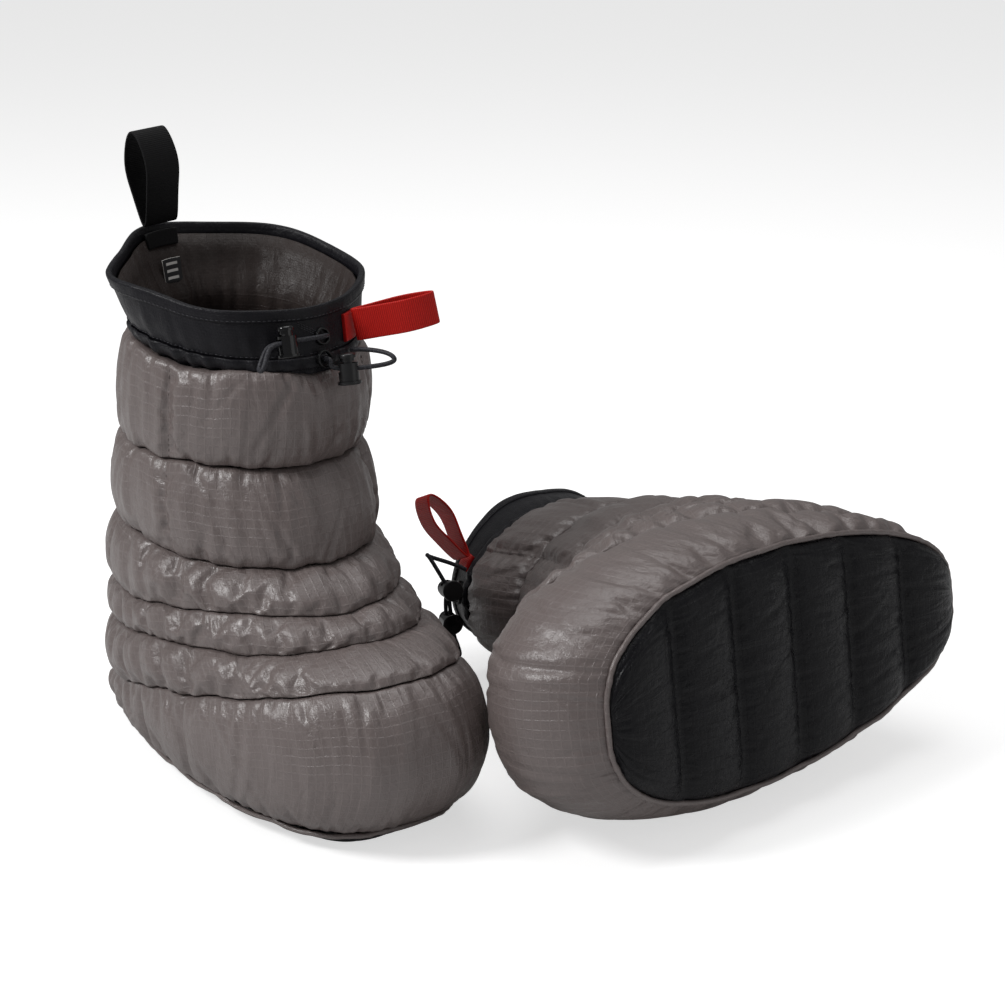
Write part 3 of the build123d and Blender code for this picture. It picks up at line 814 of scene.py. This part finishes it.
def ankle_span(boot):
    """Where the ankle's cloth starts to leave the foot, and where it wholly follows the shaft."""
    start = boot.row([50, 0, 118.0])
    end = boot.row(boot.settle(np.array([50, 0, 139.0]), 139.0))
    return tuple(start), tuple(end)


class CollarSettings(bpy.types.PropertyGroup):
    """The collar's cloth."""
    colour: bpy.props.StringProperty(name="Collar colour", description="sRGB hex of the collar's nylon",
                                     default="#101014")


class BOOTS_OT_collars(bpy.types.Operator):
    """Makes the collars, their casings and bound rims, and the linings"""
    bl_idname = "boots.collars"
    bl_label = "Collars and linings"

    def execute(self, context):
        for boot in BOOTS:
            make_collar(boot)
            make_linings(boot)
        return {"FINISHED"}


# ------------------------------------------------------------------ webbing
REAR_TURN, FRONT_TURN, FRONT_SHARE, FRONT_SWING = 193.0, 29.0, 0.51, radians(27)
ANCHOR_T, WEBBING_T = 2.4, 1.5


def closed_curve(knots, count):
    """A smooth closed curve through the knots: a periodic cubic spline, sampled evenly."""
    knots = np.asarray(knots, float)
    n = len(knots)
    step = np.linalg.norm(np.roll(knots, -1, 0) - knots, axis=1)
    before = np.roll(step, 1)
    system = np.zeros((n, n))
    index = np.arange(n)
    system[index, index] = 2 * (before + step)
    system[index, (index - 1) % n] += before
    system[index, (index + 1) % n] += step
    slope = (np.roll(knots, -1, 0) - knots) / step[:, None]
    bend = np.linalg.solve(system, 6 * (slope - np.roll(slope, 1, 0)))
    after = np.roll(bend, -1, 0)
    t = np.linspace(0, 1, 60, endpoint=False)[:, None]
    pieces = [
        bend[k] * (((1 - t) ** 3 - (1 - t)) * step[k] ** 2 / 6) + after[k] * ((t ** 3 - t) * step[k] ** 2 / 6)
        + knots[k] * (1 - t) + knots[(k + 1) % n] * t
        for k in range(n)
    ]
    fine = np.concatenate(pieces)
    closed = np.vstack([fine, fine[:1]])
    run = np.concatenate([[0], np.cumsum(np.linalg.norm(np.diff(closed, axis=0), axis=1))])
    even = np.linspace(0, run[-1], count, endpoint=False)
    return np.stack([np.interp(even, run, closed[:, axis]) for axis in range(closed.shape[1])], -1), run[-1]


def rounded_section(width, thick, count=9):
    """A strap's cross-section: flat faces with half-round edges, as (through, across) points."""
    turn = np.linspace(-pi / 2, pi / 2, count)
    edge = np.stack([np.sin(turn) * thick / 2, np.cos(turn) * thick / 2 + width / 2 - thick / 2], -1)
    face = np.linspace(0.8, -0.8, 5) * (width / 2 - thick / 2)
    top = np.stack([np.full(5, thick / 2), face], -1)
    low = np.stack([np.full(5, -thick / 2), face[::-1]], -1)
    return np.concatenate([edge, top, -edge, low])


def make_loop(boot, name, width, length, opening, place, look, body):
    """A sewn strap: the section swept round a teardrop, its crown a little dished and rippled."""
    t = WEBBING_T
    tip, long, wide = t, length - 2 * t, opening + t
    outline, run = closed_curve([
        (tip, 0), (tip + 0.33 * long, 0.36 * wide), (tip + 0.75 * long, 0.5 * wide), (tip + long, 0),
        (tip + 0.75 * long, -0.5 * wide), (tip + 0.33 * long, -0.36 * wide),
    ], 150)
    ahead = np.roll(outline, -1, 0) - np.roll(outline, 1, 0)
    normal = np.stack([ahead[:, 1], -ahead[:, 0]], -1)
    normal /= np.linalg.norm(normal, axis=1, keepdims=True)
    section = rounded_section(width, t * 0.92)
    along = np.arange(150)[:, None] * 2 * pi / 150
    twist = 0.25 * np.sin(along * 3 + 1) * (section[:, 1] / width)[None]
    flat = outline[:, None] + normal[:, None] * (section[None, :, 0, None] + twist[..., None])
    points = place(flat[..., 0], flat[..., 1], np.broadcast_to(section[:, 1], flat.shape[:2]))
    quads, rows_at, columns_at = grid_quads(150, len(section), True, True)
    across = np.concatenate([[0], np.cumsum(np.linalg.norm(np.diff(section, axis=0), axis=1)), [2 * width]])
    uv = np.stack([rows_at * run / 150, across[columns_at]], -1) * MM
    piece = mesh_piece(f"{boot.name}_{name}_webbing", boot.row(points), quads, uv)
    dress(subdivide(piece), look)
    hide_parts(f"{boot.name}_{name}")
    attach(piece, boot.body(body))


def make_patch(boot, name, turn, share, width, height, outs, look, node, ply=9):
    """A curved patch that lies on the collar's cloth: front and back grids joined round their edge."""
    speed = np.linalg.norm(
        Spot(boot, turn + 1, share).origin - Spot(boot, turn - 1, share).origin) / 2
    rim = np.linalg.norm(Spot(boot, turn, 1.0).origin - Spot(boot, turn, 0.0).origin)
    across = np.linspace(-0.5, 0.5, 15)
    up = np.linspace(-0.5, 0.5, ply)
    angles = np.radians(turn + across * width / speed)
    levels = share + up * height / rim
    faces = [collar_cloth(boot, angles, levels, out, 0.3) for out in outs]
    points = np.stack(faces)
    count = points[0].size // 3
    low, at_i, at_j = grid_quads(ply, 15, False)
    border = np.concatenate([
        np.arange(15), np.arange(1, ply) * 15 + 14, (ply - 1) * 15 + np.arange(13, -1, -1),
        np.arange(ply - 2, 0, -1) * 15,
    ])
    around = np.roll(border, -1)
    sides = np.stack([border, around, around + count, border + count], -1)
    quads = np.concatenate([low[:, ::-1], low + count, sides])
    uv_low = np.stack([across[at_j] * width, up[at_i] * height], -1) * MM
    uv = np.concatenate([uv_low[:, ::-1], uv_low, np.zeros((len(sides), 4, 2))])
    piece = mesh_piece(f"{boot.name}_{name}", boot.row(points), quads, uv)
    bevel = piece.modifiers.new("Bevel", "BEVEL")
    bevel.width, bevel.segments, bevel.limit_method, bevel.angle_limit = 0.0004, 2, "ANGLE", radians(40)
    dress(piece, look)
    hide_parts(f"{boot.name}_{node}")
    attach(piece, boot.body("shaft"))


def make_webbing(boot):
    rear = Spot(boot, REAR_TURN, 1.0, -COLLAR_WALL - LINING - ANCHOR_T / 2)

    def stand(x, y, z):
        return (rear.origin + (x[..., None] + 1.6) * rear.up + y[..., None] * rear.out
                + z[..., None] * rear.side)

    make_loop(boot, "rear_loop", 24.0, 56.0, 15.0, stand, "black_webbing", "rear_loop_strap")
    front = Spot(boot, FRONT_TURN, FRONT_SHARE, ANCHOR_T + 0.9)
    ahead = front.out * cos(FRONT_SWING) + front.side * sin(FRONT_SWING)
    aside = front.side * cos(FRONT_SWING) - front.out * sin(FRONT_SWING)

    def hang(x, y, z):
        return front.origin + x[..., None] * ahead + y[..., None] * aside + z[..., None] * front.up

    make_loop(boot, "front_loop", 18.0, 48.0, 11.0, hang, "red_webbing", "front_loop_strap")
    deep = -COLLAR_WALL - LINING
    make_patch(boot, "rear_anchor_webbing", REAR_TURN, 0.86, 24.0, 9.0, (deep - ANCHOR_T, deep - 0.1),
               "black_webbing", "rear_loop_anchor")
    make_patch(boot, "front_anchor_webbing", FRONT_TURN, FRONT_SHARE, 11.0, 15.0, (0.1, ANCHOR_T),
               "red_webbing", "front_loop_anchor")
    make_patch(boot, "size_label", REAR_TURN, 0.45, 16.0, 14.0, (-10.3, -9.5),
               "woven_label", "size_tab")


class WebbingSettings(bpy.types.PropertyGroup):
    """The pull loops' colours."""
    front: bpy.props.StringProperty(name="Front loop", description="sRGB hex of the front loop",
                                    default="#d9261d")
    rear: bpy.props.StringProperty(name="Rear loop", description="sRGB hex of the rear loop",
                                   default="#0f0e11")


class BOOTS_OT_webbing(bpy.types.Operator):
    """Sews on the pull loops and the woven size tabs"""
    bl_idname = "boots.webbing"
    bl_label = "Pull loops"

    def execute(self, context):
        for boot in BOOTS:
            make_webbing(boot)
        return {"FINISHED"}


# ------------------------------------------------------------------ drawcords
def waist_lock(boot):
    """The lower lock's place and the way that its cord runs through it."""
    lock = Spot(boot, 12.0, -0.08, 13.5)
    along = lock.out * cos(radians(48)) + lock.side * sin(radians(48)) - lock.up * 0.12
    return lock, along / np.linalg.norm(along)


def rim_lock(boot):
    """The upper lock's place and the way that its two strands run through it."""
    lock = Spot(boot, -13.0, 0.50, 10.5)
    along = Spot(boot, 9.0, 0.50, 0.15).point(9.0, -4.0) - lock.origin
    return lock, along / np.linalg.norm(along)


def waist_route(boot):
    """Sewn in beside the lock, round a free loop, back through the lock and in at the eyelet."""
    eyelet = Spot(boot, 6.0, 0.15, WAIST_WALL + 0.1)
    lock, along = waist_lock(boot)
    sewn = Spot(boot, 25.0, 0.15, WAIST_WALL)
    tip = lock.origin + along * 26
    return [sewn.point(0.2), sewn.point(7.5), tip + lock.up * 6.2 - along * 1.5, tip,
            lock.origin - along * 10, eyelet.point(6.8), eyelet.point(0.3)]


def rim_route(boot):
    """Out of the eyelet, through the lock, round a small end loop and back beside itself."""
    eyelet = Spot(boot, 9.0, 0.50, 0.15)
    lock, along = rim_lock(boot)
    w = 2.9 / 2
    across = np.cross(along, lock.up)
    across /= np.linalg.norm(across)
    down = lock.up * -0.9 - along * 0.45
    down /= np.linalg.norm(down)
    bend = lock.origin - along * 11
    end = bend + down * 15 + lock.out * 2
    there, back = [
        [eyelet.point(0.2, side * w), eyelet.point(6.5, side * w),
         lock.origin + along * 15 + across * (side * w),
         lock.origin - along * 9.5 + across * (side * w),
         bend + down * 6 + across * (side * 1.9), end + across * (side * 3.1)]
        for side in (1, -1)
    ]
    return there + back[::-1]


def make_cord(boot, name, route, diameter):
    route = boot.row(np.array(route))
    curve = bpy.data.curves.new(f"{boot.name}_{name}_braid", "CURVE")
    curve.dimensions = "3D"
    spline = curve.splines.new("NURBS")
    spline.points.add(len(route) - 1)
    spline.points.foreach_set("co", np.c_[route, np.ones(len(route))].ravel())
    spline.order_u, spline.use_endpoint_u = 3, True
    curve.resolution_u, curve.bevel_resolution = 12, 5
    curve.bevel_depth = diameter / 2
    curve.use_fill_caps = True
    piece = bpy.data.objects.new(curve.name, curve)
    bpy.context.collection.objects.link(piece)
    dress(piece, "shock_cord")
    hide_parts(f"{boot.name}_{name}")
    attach(piece, boot.body("shaft"))


class CordSettings(bpy.types.PropertyGroup):
    """Sizes of the drawcords."""
    diameter: bpy.props.FloatProperty(name="Cord", description="Diameter of the elastic cord",
                                      default=0.0026, unit="LENGTH")


class BOOTS_OT_cords(bpy.types.Operator):
    """Threads the drawcords and finishes the cord locks, springs and eyelets"""
    bl_idname = "boots.cords"
    bl_label = "Drawcords and locks"

    def execute(self, context):
        size = context.scene.boot_cords.diameter
        for boot, waist, rim in ((UPRIGHT, 78.3, 120.8), (LYING, 79.5, 109.8)):
            make_cord(boot, "waist_cord", waist_route(boot), size)
            make_cord(boot, "rim_cord", rim_route(boot), size)
            make_spring(boot, "waist", *waist_lock(boot))
            make_spring(boot, "rim", *rim_lock(boot))
            for node, look in LOCK_LOOKS.items():
                finish_cad(f"{boot.name}_{node}", look)
        return {"FINISHED"}


def make_spring(boot, name, lock, along):
    """The lock's coil: a helix of round wire that the button flattens towards the barrel's floor."""
    axis = lock.up - along * np.dot(lock.up, along)
    axis /= np.linalg.norm(axis)
    aside = np.cross(axis, along)
    low, high, radius, wire, turns = -6.85, -3.05, 2.8, 0.3, 2.5
    t = np.linspace(0, 1, 90)
    angle = 2 * pi * turns * t
    radial = np.cos(angle)[:, None] * along + np.sin(angle)[:, None] * aside
    line = lock.origin + radial * radius + axis * (low + (high - low) * t)[:, None]
    turn = np.arange(10) * 2 * pi / 10
    points = line[:, None] + wire * (
        np.cos(turn)[None, :, None] * radial[:, None] + np.sin(turn)[None, :, None] * axis)
    quads = grid_quads(90, 10, True)[0].tolist()
    quads += [list(range(9, -1, -1)), list(range(890, 900))]
    mesh = bpy.data.meshes.new(f"{boot.name}_{name}_coil")
    mesh.from_pydata(boot.row(points).reshape(-1, 3).tolist(), [], quads)
    mesh.polygons.foreach_set("use_smooth", np.ones(len(mesh.polygons), bool))
    piece = bpy.data.objects.new(mesh.name, mesh)
    bpy.context.collection.objects.link(piece)
    dress(piece, "spring_steel")
    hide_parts(f"{boot.name}_{name}_lock_spring")
    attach(piece, boot.body(f"{name}_lock"))
    tuple(boot.aim(axis))
    tuple(boot.row(lock.origin + axis * (low - wire)))
    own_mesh(piece)


LOCK_LOOKS = {
    "waist_lock_barrel": "lock_acetal", "waist_lock_plunger": "lock_acetal",
    "rim_lock_barrel": "gloss_acetal", "rim_lock_plunger": "gloss_acetal",
    "waist_eyelet": "lacquered_brass", "rim_eyelet": "lacquered_brass",
}


def finish_cad(node, look):
    """Gives a CAD node its finish: its shape stays as it is."""
    piece = bpy.data.objects[node]
    for part in [piece, *piece.children_recursive]:
        if part.type == "MESH":
            if not part.data.materials:
                part.data.materials.append(None)
            for place in part.material_slots:
                place.link = "OBJECT"
                place.material = MATERIALS[look]


# ------------------------------------------------------------------ thread and piping
def capsules(starts, ends, normals, radius):
    """Small closed stitches from starts to ends: eight-sided, pinched where they enter the cloth."""
    count = len(starts)
    ahead = ends - starts
    length = np.linalg.norm(ahead, axis=1, keepdims=True)
    ahead = ahead / length
    aside = np.cross(normals, ahead)
    aside /= np.linalg.norm(aside, axis=1, keepdims=True)
    lift = np.cross(ahead, aside)
    # share of the stitch's length, share of its radius, lift in radii
    stations = np.array([(0.0, 0.25, -0.8), (0.12, 0.8, 0.0), (0.5, 1.0, 0.35),
                         (0.88, 0.8, 0.0), (1.0, 0.25, -0.8)])
    turn = np.arange(8) * 2 * pi / 8
    points = np.empty((count, 5, 8, 3))
    for k, (share, wide, high) in enumerate(stations):
        middle = starts + ahead * length * share + lift * high * radius
        points[:, k] = (middle[:, None] + radius * wide * (
            np.cos(turn)[None, :, None] * aside[:, None] + np.sin(turn)[None, :, None] * lift[:, None]))
    quads = grid_quads(5, 8, True)[0]
    caps_low, caps_high = np.arange(7, -1, -1), np.arange(8) + 32
    faces = (quads[None] + (np.arange(count) * 40)[:, None, None]).reshape(-1, 4)
    first = np.arange(count)[:, None] * 40
    caps = np.concatenate([first + caps_low, first + caps_high])
    return points.reshape(-1, 3), faces.tolist() + caps.tolist()


def make_stitches(boot, name, path, normals, look, body, pitch=3.0, length=2.1, radius=0.26):
    """Evenly spaced stitches along a path in boot millimetres."""
    run = np.concatenate([[0], np.cumsum(np.linalg.norm(np.diff(path, axis=0), axis=1))])
    starts_at = np.arange(pitch * 0.3, run[-1] - length, pitch)
    at = lambda where, values: np.stack([np.interp(where, run, values[:, k]) for k in range(3)], -1)
    starts, ends = at(starts_at, path), at(starts_at + length, path)
    outward = at(starts_at + length / 2, normals)
    points, faces = capsules(starts, ends, outward, radius)
    mesh = bpy.data.meshes.new(f"{boot.name}_{name}_thread")
    mesh.from_pydata(boot.row(points).tolist(), [], faces)
    mesh.polygons.foreach_set("use_smooth", np.ones(len(mesh.polygons), bool))
    piece = bpy.data.objects.new(mesh.name, mesh)
    bpy.context.collection.objects.link(piece)
    dress(piece, look)
    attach(piece, boot.body(body))
    return piece


def make_seams(boot):
    """Thread down the shaft's side seams, round the rim and casing, and the bar-tack by the rim eyelet."""
    for name in ("shaft_lower_baffle", "shaft_upper_baffle"):
        skin, angles = SKINS[boot.name, name]
        middle = skin.mean((0, 1))
        for count, turn in enumerate(BAFFLES[name][4]):
            column = int(np.abs((np.degrees(angles) - turn + 180) % 360 - 180).argmin())
            path = skin[:, column]
            away = path - middle
            away[:, 2] = 0
            away /= np.linalg.norm(away, axis=1, keepdims=True)
            make_stitches(boot, f"{name}_seam_{count}", path + away * 0.2, away, "taupe_thread", "shaft",
                          pitch=3.4, length=2.3)
    angles = np.arange(361) * 2 * pi / 360
    for label, level, out in (("rim", 0.835, 1.1), ("casing_top", 0.262, 0.2)):
        path = collar_cloth(boot, angles, np.array([level]), out)[0]
        away = collar_cloth(boot, angles, np.array([level]), out + 1.0)[0] - path
        make_stitches(boot, label, path, away, "black_thread", "shaft", pitch=2.8, length=1.9, radius=0.2)
    tack = np.radians(np.linspace(-4, 7, 12))
    for row in range(3):
        levels = np.linspace(0.80, 0.58, 12) - row * 0.035
        path, raised = (
            np.stack([collar_cloth(boot, tack[k:k + 1], levels[k:k + 1], out)[0, 0] for k in range(12)])
            for out in (0.25, 1.25)
        )
        make_stitches(boot, f"bar_tack_{row}", path, raised - path, "black_thread", "shaft",
                      pitch=1.9, length=1.5, radius=0.22)


def make_piping(boot):
    """A cord of shell cloth round the sole's edge that dips into each channel's seam."""
    angles = np.arange(420) * 2 * pi / 420
    heel, toe = SEAMS["sole_edge"][2:4]
    line = ring_points(boot, SEAMS["sole_edge"], angles, inset=-0.6)
    step = (toe - heel) / SOLE_CHANNELS
    scallop = np.abs(np.sin(pi * (line[:, 0] - heel) / step))
    line[:, 2] += -0.6 - 1.6 * scallop + 0.4 * noise_round(angles, 55, 10, 30)
    ahead = np.roll(line, -1, 0) - np.roll(line, 1, 0)
    ahead /= np.linalg.norm(ahead, axis=1, keepdims=True)
    side = np.cross(ahead, [0, 0, 1.0])
    side /= np.linalg.norm(side, axis=1, keepdims=True)
    up = np.cross(side, ahead)
    turn = np.arange(10) * 2 * pi / 10
    radius = 1.5 + 0.15 * noise_round(angles, 56, 40, 90)
    rings = [line + radius[:, None] * (side * cos(t) + up * sin(t)) for t in turn]
    piece = shell_piece(boot, "sole_piping", rings, None, "taupe_ripstop")
    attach(piece, boot.body("foot"))


class BOOTS_OT_seams(bpy.types.Operator):
    """Adds the visible thread and the piping round the soles"""
    bl_idname = "boots.seams"
    bl_label = "Thread and piping"

    def execute(self, context):
        for boot in BOOTS:
            make_seams(boot)
            make_piping(boot)
        return {"FINISHED"}


# ------------------------------------------------------------------ stage
class StageSettings(bpy.types.PropertyGroup):
    """Floor, light and camera."""
    floor: bpy.props.FloatProperty(name="Floor size", description="Side of the paper sweep",
                                   default=30.0, unit="LENGTH")
    ambient: bpy.props.FloatProperty(name="Ambient", description="Light from the white surroundings",
                                     default=0.22)
    key: bpy.props.FloatProperty(name="Key light", description="Watts of the large softbox", default=27.0)


def area_light(name, at, aim, size, watts, colour="#ffffff"):
    light = bpy.data.lights.new(name, "AREA")
    light.shape, light.size, light.energy = "DISK", size, watts
    light.color = linear(colour)[:3]
    lamp = bpy.data.objects.new(name, light)
    bpy.context.collection.objects.link(lamp)
    lamp.location = at
    lamp.rotation_euler = (Vector(aim) - Vector(at)).to_track_quat("-Z", "Y").to_euler()


class BOOTS_OT_stage(bpy.types.Operator):
    """Lays the pale floor and sets the soft light and the camera"""
    bl_idname = "boots.stage"
    bl_label = "Floor, light and camera"

    def execute(self, context):
        settings = context.scene.boot_stage
        h = settings.floor / 2
        floor = mesh_piece("floor", np.array([(-h, -h, 0), (h, -h, 0), (h, h, 0), (-h, h, 0)]),
                           np.array([(0, 1, 2, 3)]), smooth=False)
        floor.data.materials.append(MATERIALS["paper"])
        middle = (0.0, 0.0, 0.12)
        area_light("key", (-0.35, -1.6, 1.5), middle, 0.7, settings.key)
        area_light("top", (-0.2, 0.2, 2.0), middle, 1.6, settings.key * 0.55)
        area_light("fill", (1.7, 0.9, 0.8), middle, 1.6, settings.key * 0.12)
        world = bpy.data.worlds.new("studio")
        world.use_nodes = True
        sky = world.node_tree.nodes["Background"]
        sky.inputs[0].default_value = (1, 1, 1, 1)
        seen = add_node(world.node_tree, "ShaderNodeLightPath").outputs["Is Camera Ray"]
        strength = add_node(world.node_tree, "ShaderNodeMapRange", {"Value": seen, "To Min": settings.ambient,
                                                                    "To Max": 0.8})
        world.node_tree.links.new(strength.outputs[0], sky.inputs[1])
        context.scene.view_settings.view_transform = "Standard"
        context.scene.world = world
        camera = bpy.data.objects.new("camera", bpy.data.cameras.new("camera"))
        camera.data.lens, camera.data.sensor_width = 82.45, 36.0
        camera.location = (1.0220, -0.7507, 0.5623)
        camera.rotation_euler = Vector((-0.7675, 0.5590, -0.3137)).to_track_quat("-Z", "Y").to_euler()
        bpy.context.collection.objects.link(camera)
        context.scene.camera = camera
        return {"FINISHED"}


def make_materials(scene):
    # shell: 20-denier ripstop nylon over down
    MATERIALS["taupe_ripstop"] = ripstop("taupe_ripstop", scene.boot_baffles.colour, "#7c7270", "#6d6361",
                                         0.36, scene.boot_baffles.grid, bump=0.5, gloss=0.75, pleats=1.6)
    # sole: black coated ripstop, duller
    MATERIALS["black_ripstop"] = ripstop("black_ripstop", "#09090d", "#111015", "#0d0c10", 0.3, 0.004,
                                         bump=0.6, gloss=0.22, pleats=1.8)
    # collar: plain-weave black nylon
    MATERIALS["collar_nylon"] = ripstop("collar_nylon", scene.boot_collars.colour, "#151419", "#17161b",
                                        0.4, 0.0016, bump=0.45, pleats=1.6)
    # lining: taupe taffeta
    MATERIALS["lining_taffeta"] = ripstop("lining_taffeta", "#2e2725", "#352d2b", "#352e2c", 0.4, 0.0012,
                                          bump=0.5, pleats=2.0)
    # insole: closed-cell foam under a brushed face
    MATERIALS["insole_foam"] = moulded("insole_foam", "#35343a", 0.85, 2500.0)
    # each webbing's second colour is painted shade for its rib valleys
    MATERIALS["black_webbing"] = webbing("black_webbing", scene.boot_webbing.rear, "#050506", 0.0011, 0.6)
    MATERIALS["red_webbing"] = webbing("red_webbing", scene.boot_webbing.front, "#9c0c08", 0.0011, 0.5)
    MATERIALS["shock_cord"] = braid("shock_cord", "#0c0c0e", "#3a3a40")
    MATERIALS["lock_acetal"] = moulded("lock_acetal", "#101012", 0.34)
    MATERIALS["gloss_acetal"] = moulded("gloss_acetal", "#0a0a0c", 0.12)
    MATERIALS["taupe_thread"] = new_material("taupe_thread", "#4f4745", 0.6)[0]
    MATERIALS["black_thread"] = new_material("black_thread", "#2b2a30", 0.5)[0]
    # spring: drawn stainless wire
    MATERIALS["spring_steel"] = new_material("spring_steel", "#b9bbc0", 0.3, Metallic=1.0)[0]
    # eyelets: brass under black lacquer
    MATERIALS["lacquered_brass"] = new_material("lacquered_brass", "#141416", 0.3, Metallic=0.4)[0]
    MATERIALS["paper"] = paper_material()
    MATERIALS["woven_label"] = label_material()


def paper_material():
    """White paper sweep, lit from behind: the glow shows to the camera and lights nothing."""
    made, tree, surface = new_material("paper", "#dcdcdc", 0.9, Emission_Color=(1, 1, 1, 1),
                                       Specular_IOR_Level=0.0)
    seen = add_node(tree, "ShaderNodeLightPath").outputs["Is Camera Ray"]
    tree.links.new(math_node(tree, "MULTIPLY", seen, 0.62), surface.inputs["Emission Strength"])
    return made


def label_material():
    """A woven label with three plain bars in place of any printed size."""
    made, tree, surface = new_material("woven_label", "#131215", 0.6)
    uv = add_node(tree, "ShaderNodeUVMap", uv_map="cloth").outputs[0]
    parts = add_node(tree, "ShaderNodeSeparateXYZ", {0: uv})
    bars = line_mask(tree, parts.outputs[1], 0.004, 0.35)
    inside = add_node(tree, "ShaderNodeMapRange", {"Value": math_node(tree, "ABSOLUTE", parts.outputs[0]),
                                                   "From Min": 0.0048, "From Max": 0.005,
                                                   "To Min": 1.0, "To Max": 0.0})
    mask = math_node(tree, "MULTIPLY", bars, inside.outputs[0])
    tone = add_node(tree, "ShaderNodeMix", {"Factor": mask, "A": linear("#131215"), "B": linear("#c9c6c2")},
                    data_type="RGBA")
    tree.links.new(tone.outputs["Result"], surface.inputs["Base Color"])
    return made


# ------------------------------------------------------------------ add-on
GROUPS = {
    "boot_baffles": BaffleSettings, "boot_soles": SoleSettings, "boot_collars": CollarSettings,
    "boot_webbing": WebbingSettings, "boot_cords": CordSettings, "boot_stage": StageSettings,
}
OPERATORS = (BOOTS_OT_baffles, BOOTS_OT_soles, BOOTS_OT_collars, BOOTS_OT_webbing, BOOTS_OT_cords,
             BOOTS_OT_seams, BOOTS_OT_stage)


class BOOTS_PT_panel(bpy.types.Panel):
    """Sizes, colours and buttons of the boots"""
    bl_label = "Down camp boots"
    bl_idname = "BOOTS_PT_panel"
    bl_space_type = "VIEW_3D"
    bl_region_type = "UI"
    bl_category = "Boots"

    def draw(self, context):
        for name, group in GROUPS.items():
            box = self.layout.box()
            for field in group.__annotations__:
                box.prop(getattr(context.scene, name), field)
        for operator in OPERATORS:
            self.layout.operator(operator.bl_idname)


def register():
    for group in GROUPS.values():
        bpy.utils.register_class(group)
    for name, group in GROUPS.items():
        setattr(bpy.types.Scene, name, bpy.props.PointerProperty(type=group))
    for kind in (*OPERATORS, BOOTS_PT_panel):
        bpy.utils.register_class(kind)


def unregister():
    for kind in (BOOTS_PT_panel, *reversed(OPERATORS)):
        bpy.utils.unregister_class(kind)
    for name in GROUPS:
        delattr(bpy.types.Scene, name)
    for group in GROUPS.values():
        bpy.utils.unregister_class(group)


def main():
    register()
    make_materials(bpy.context.scene)
    for operator in OPERATORS:
        getattr(bpy.ops.boots, operator.bl_idname.split(".")[1])()


if __name__ == "__main__":
    main()
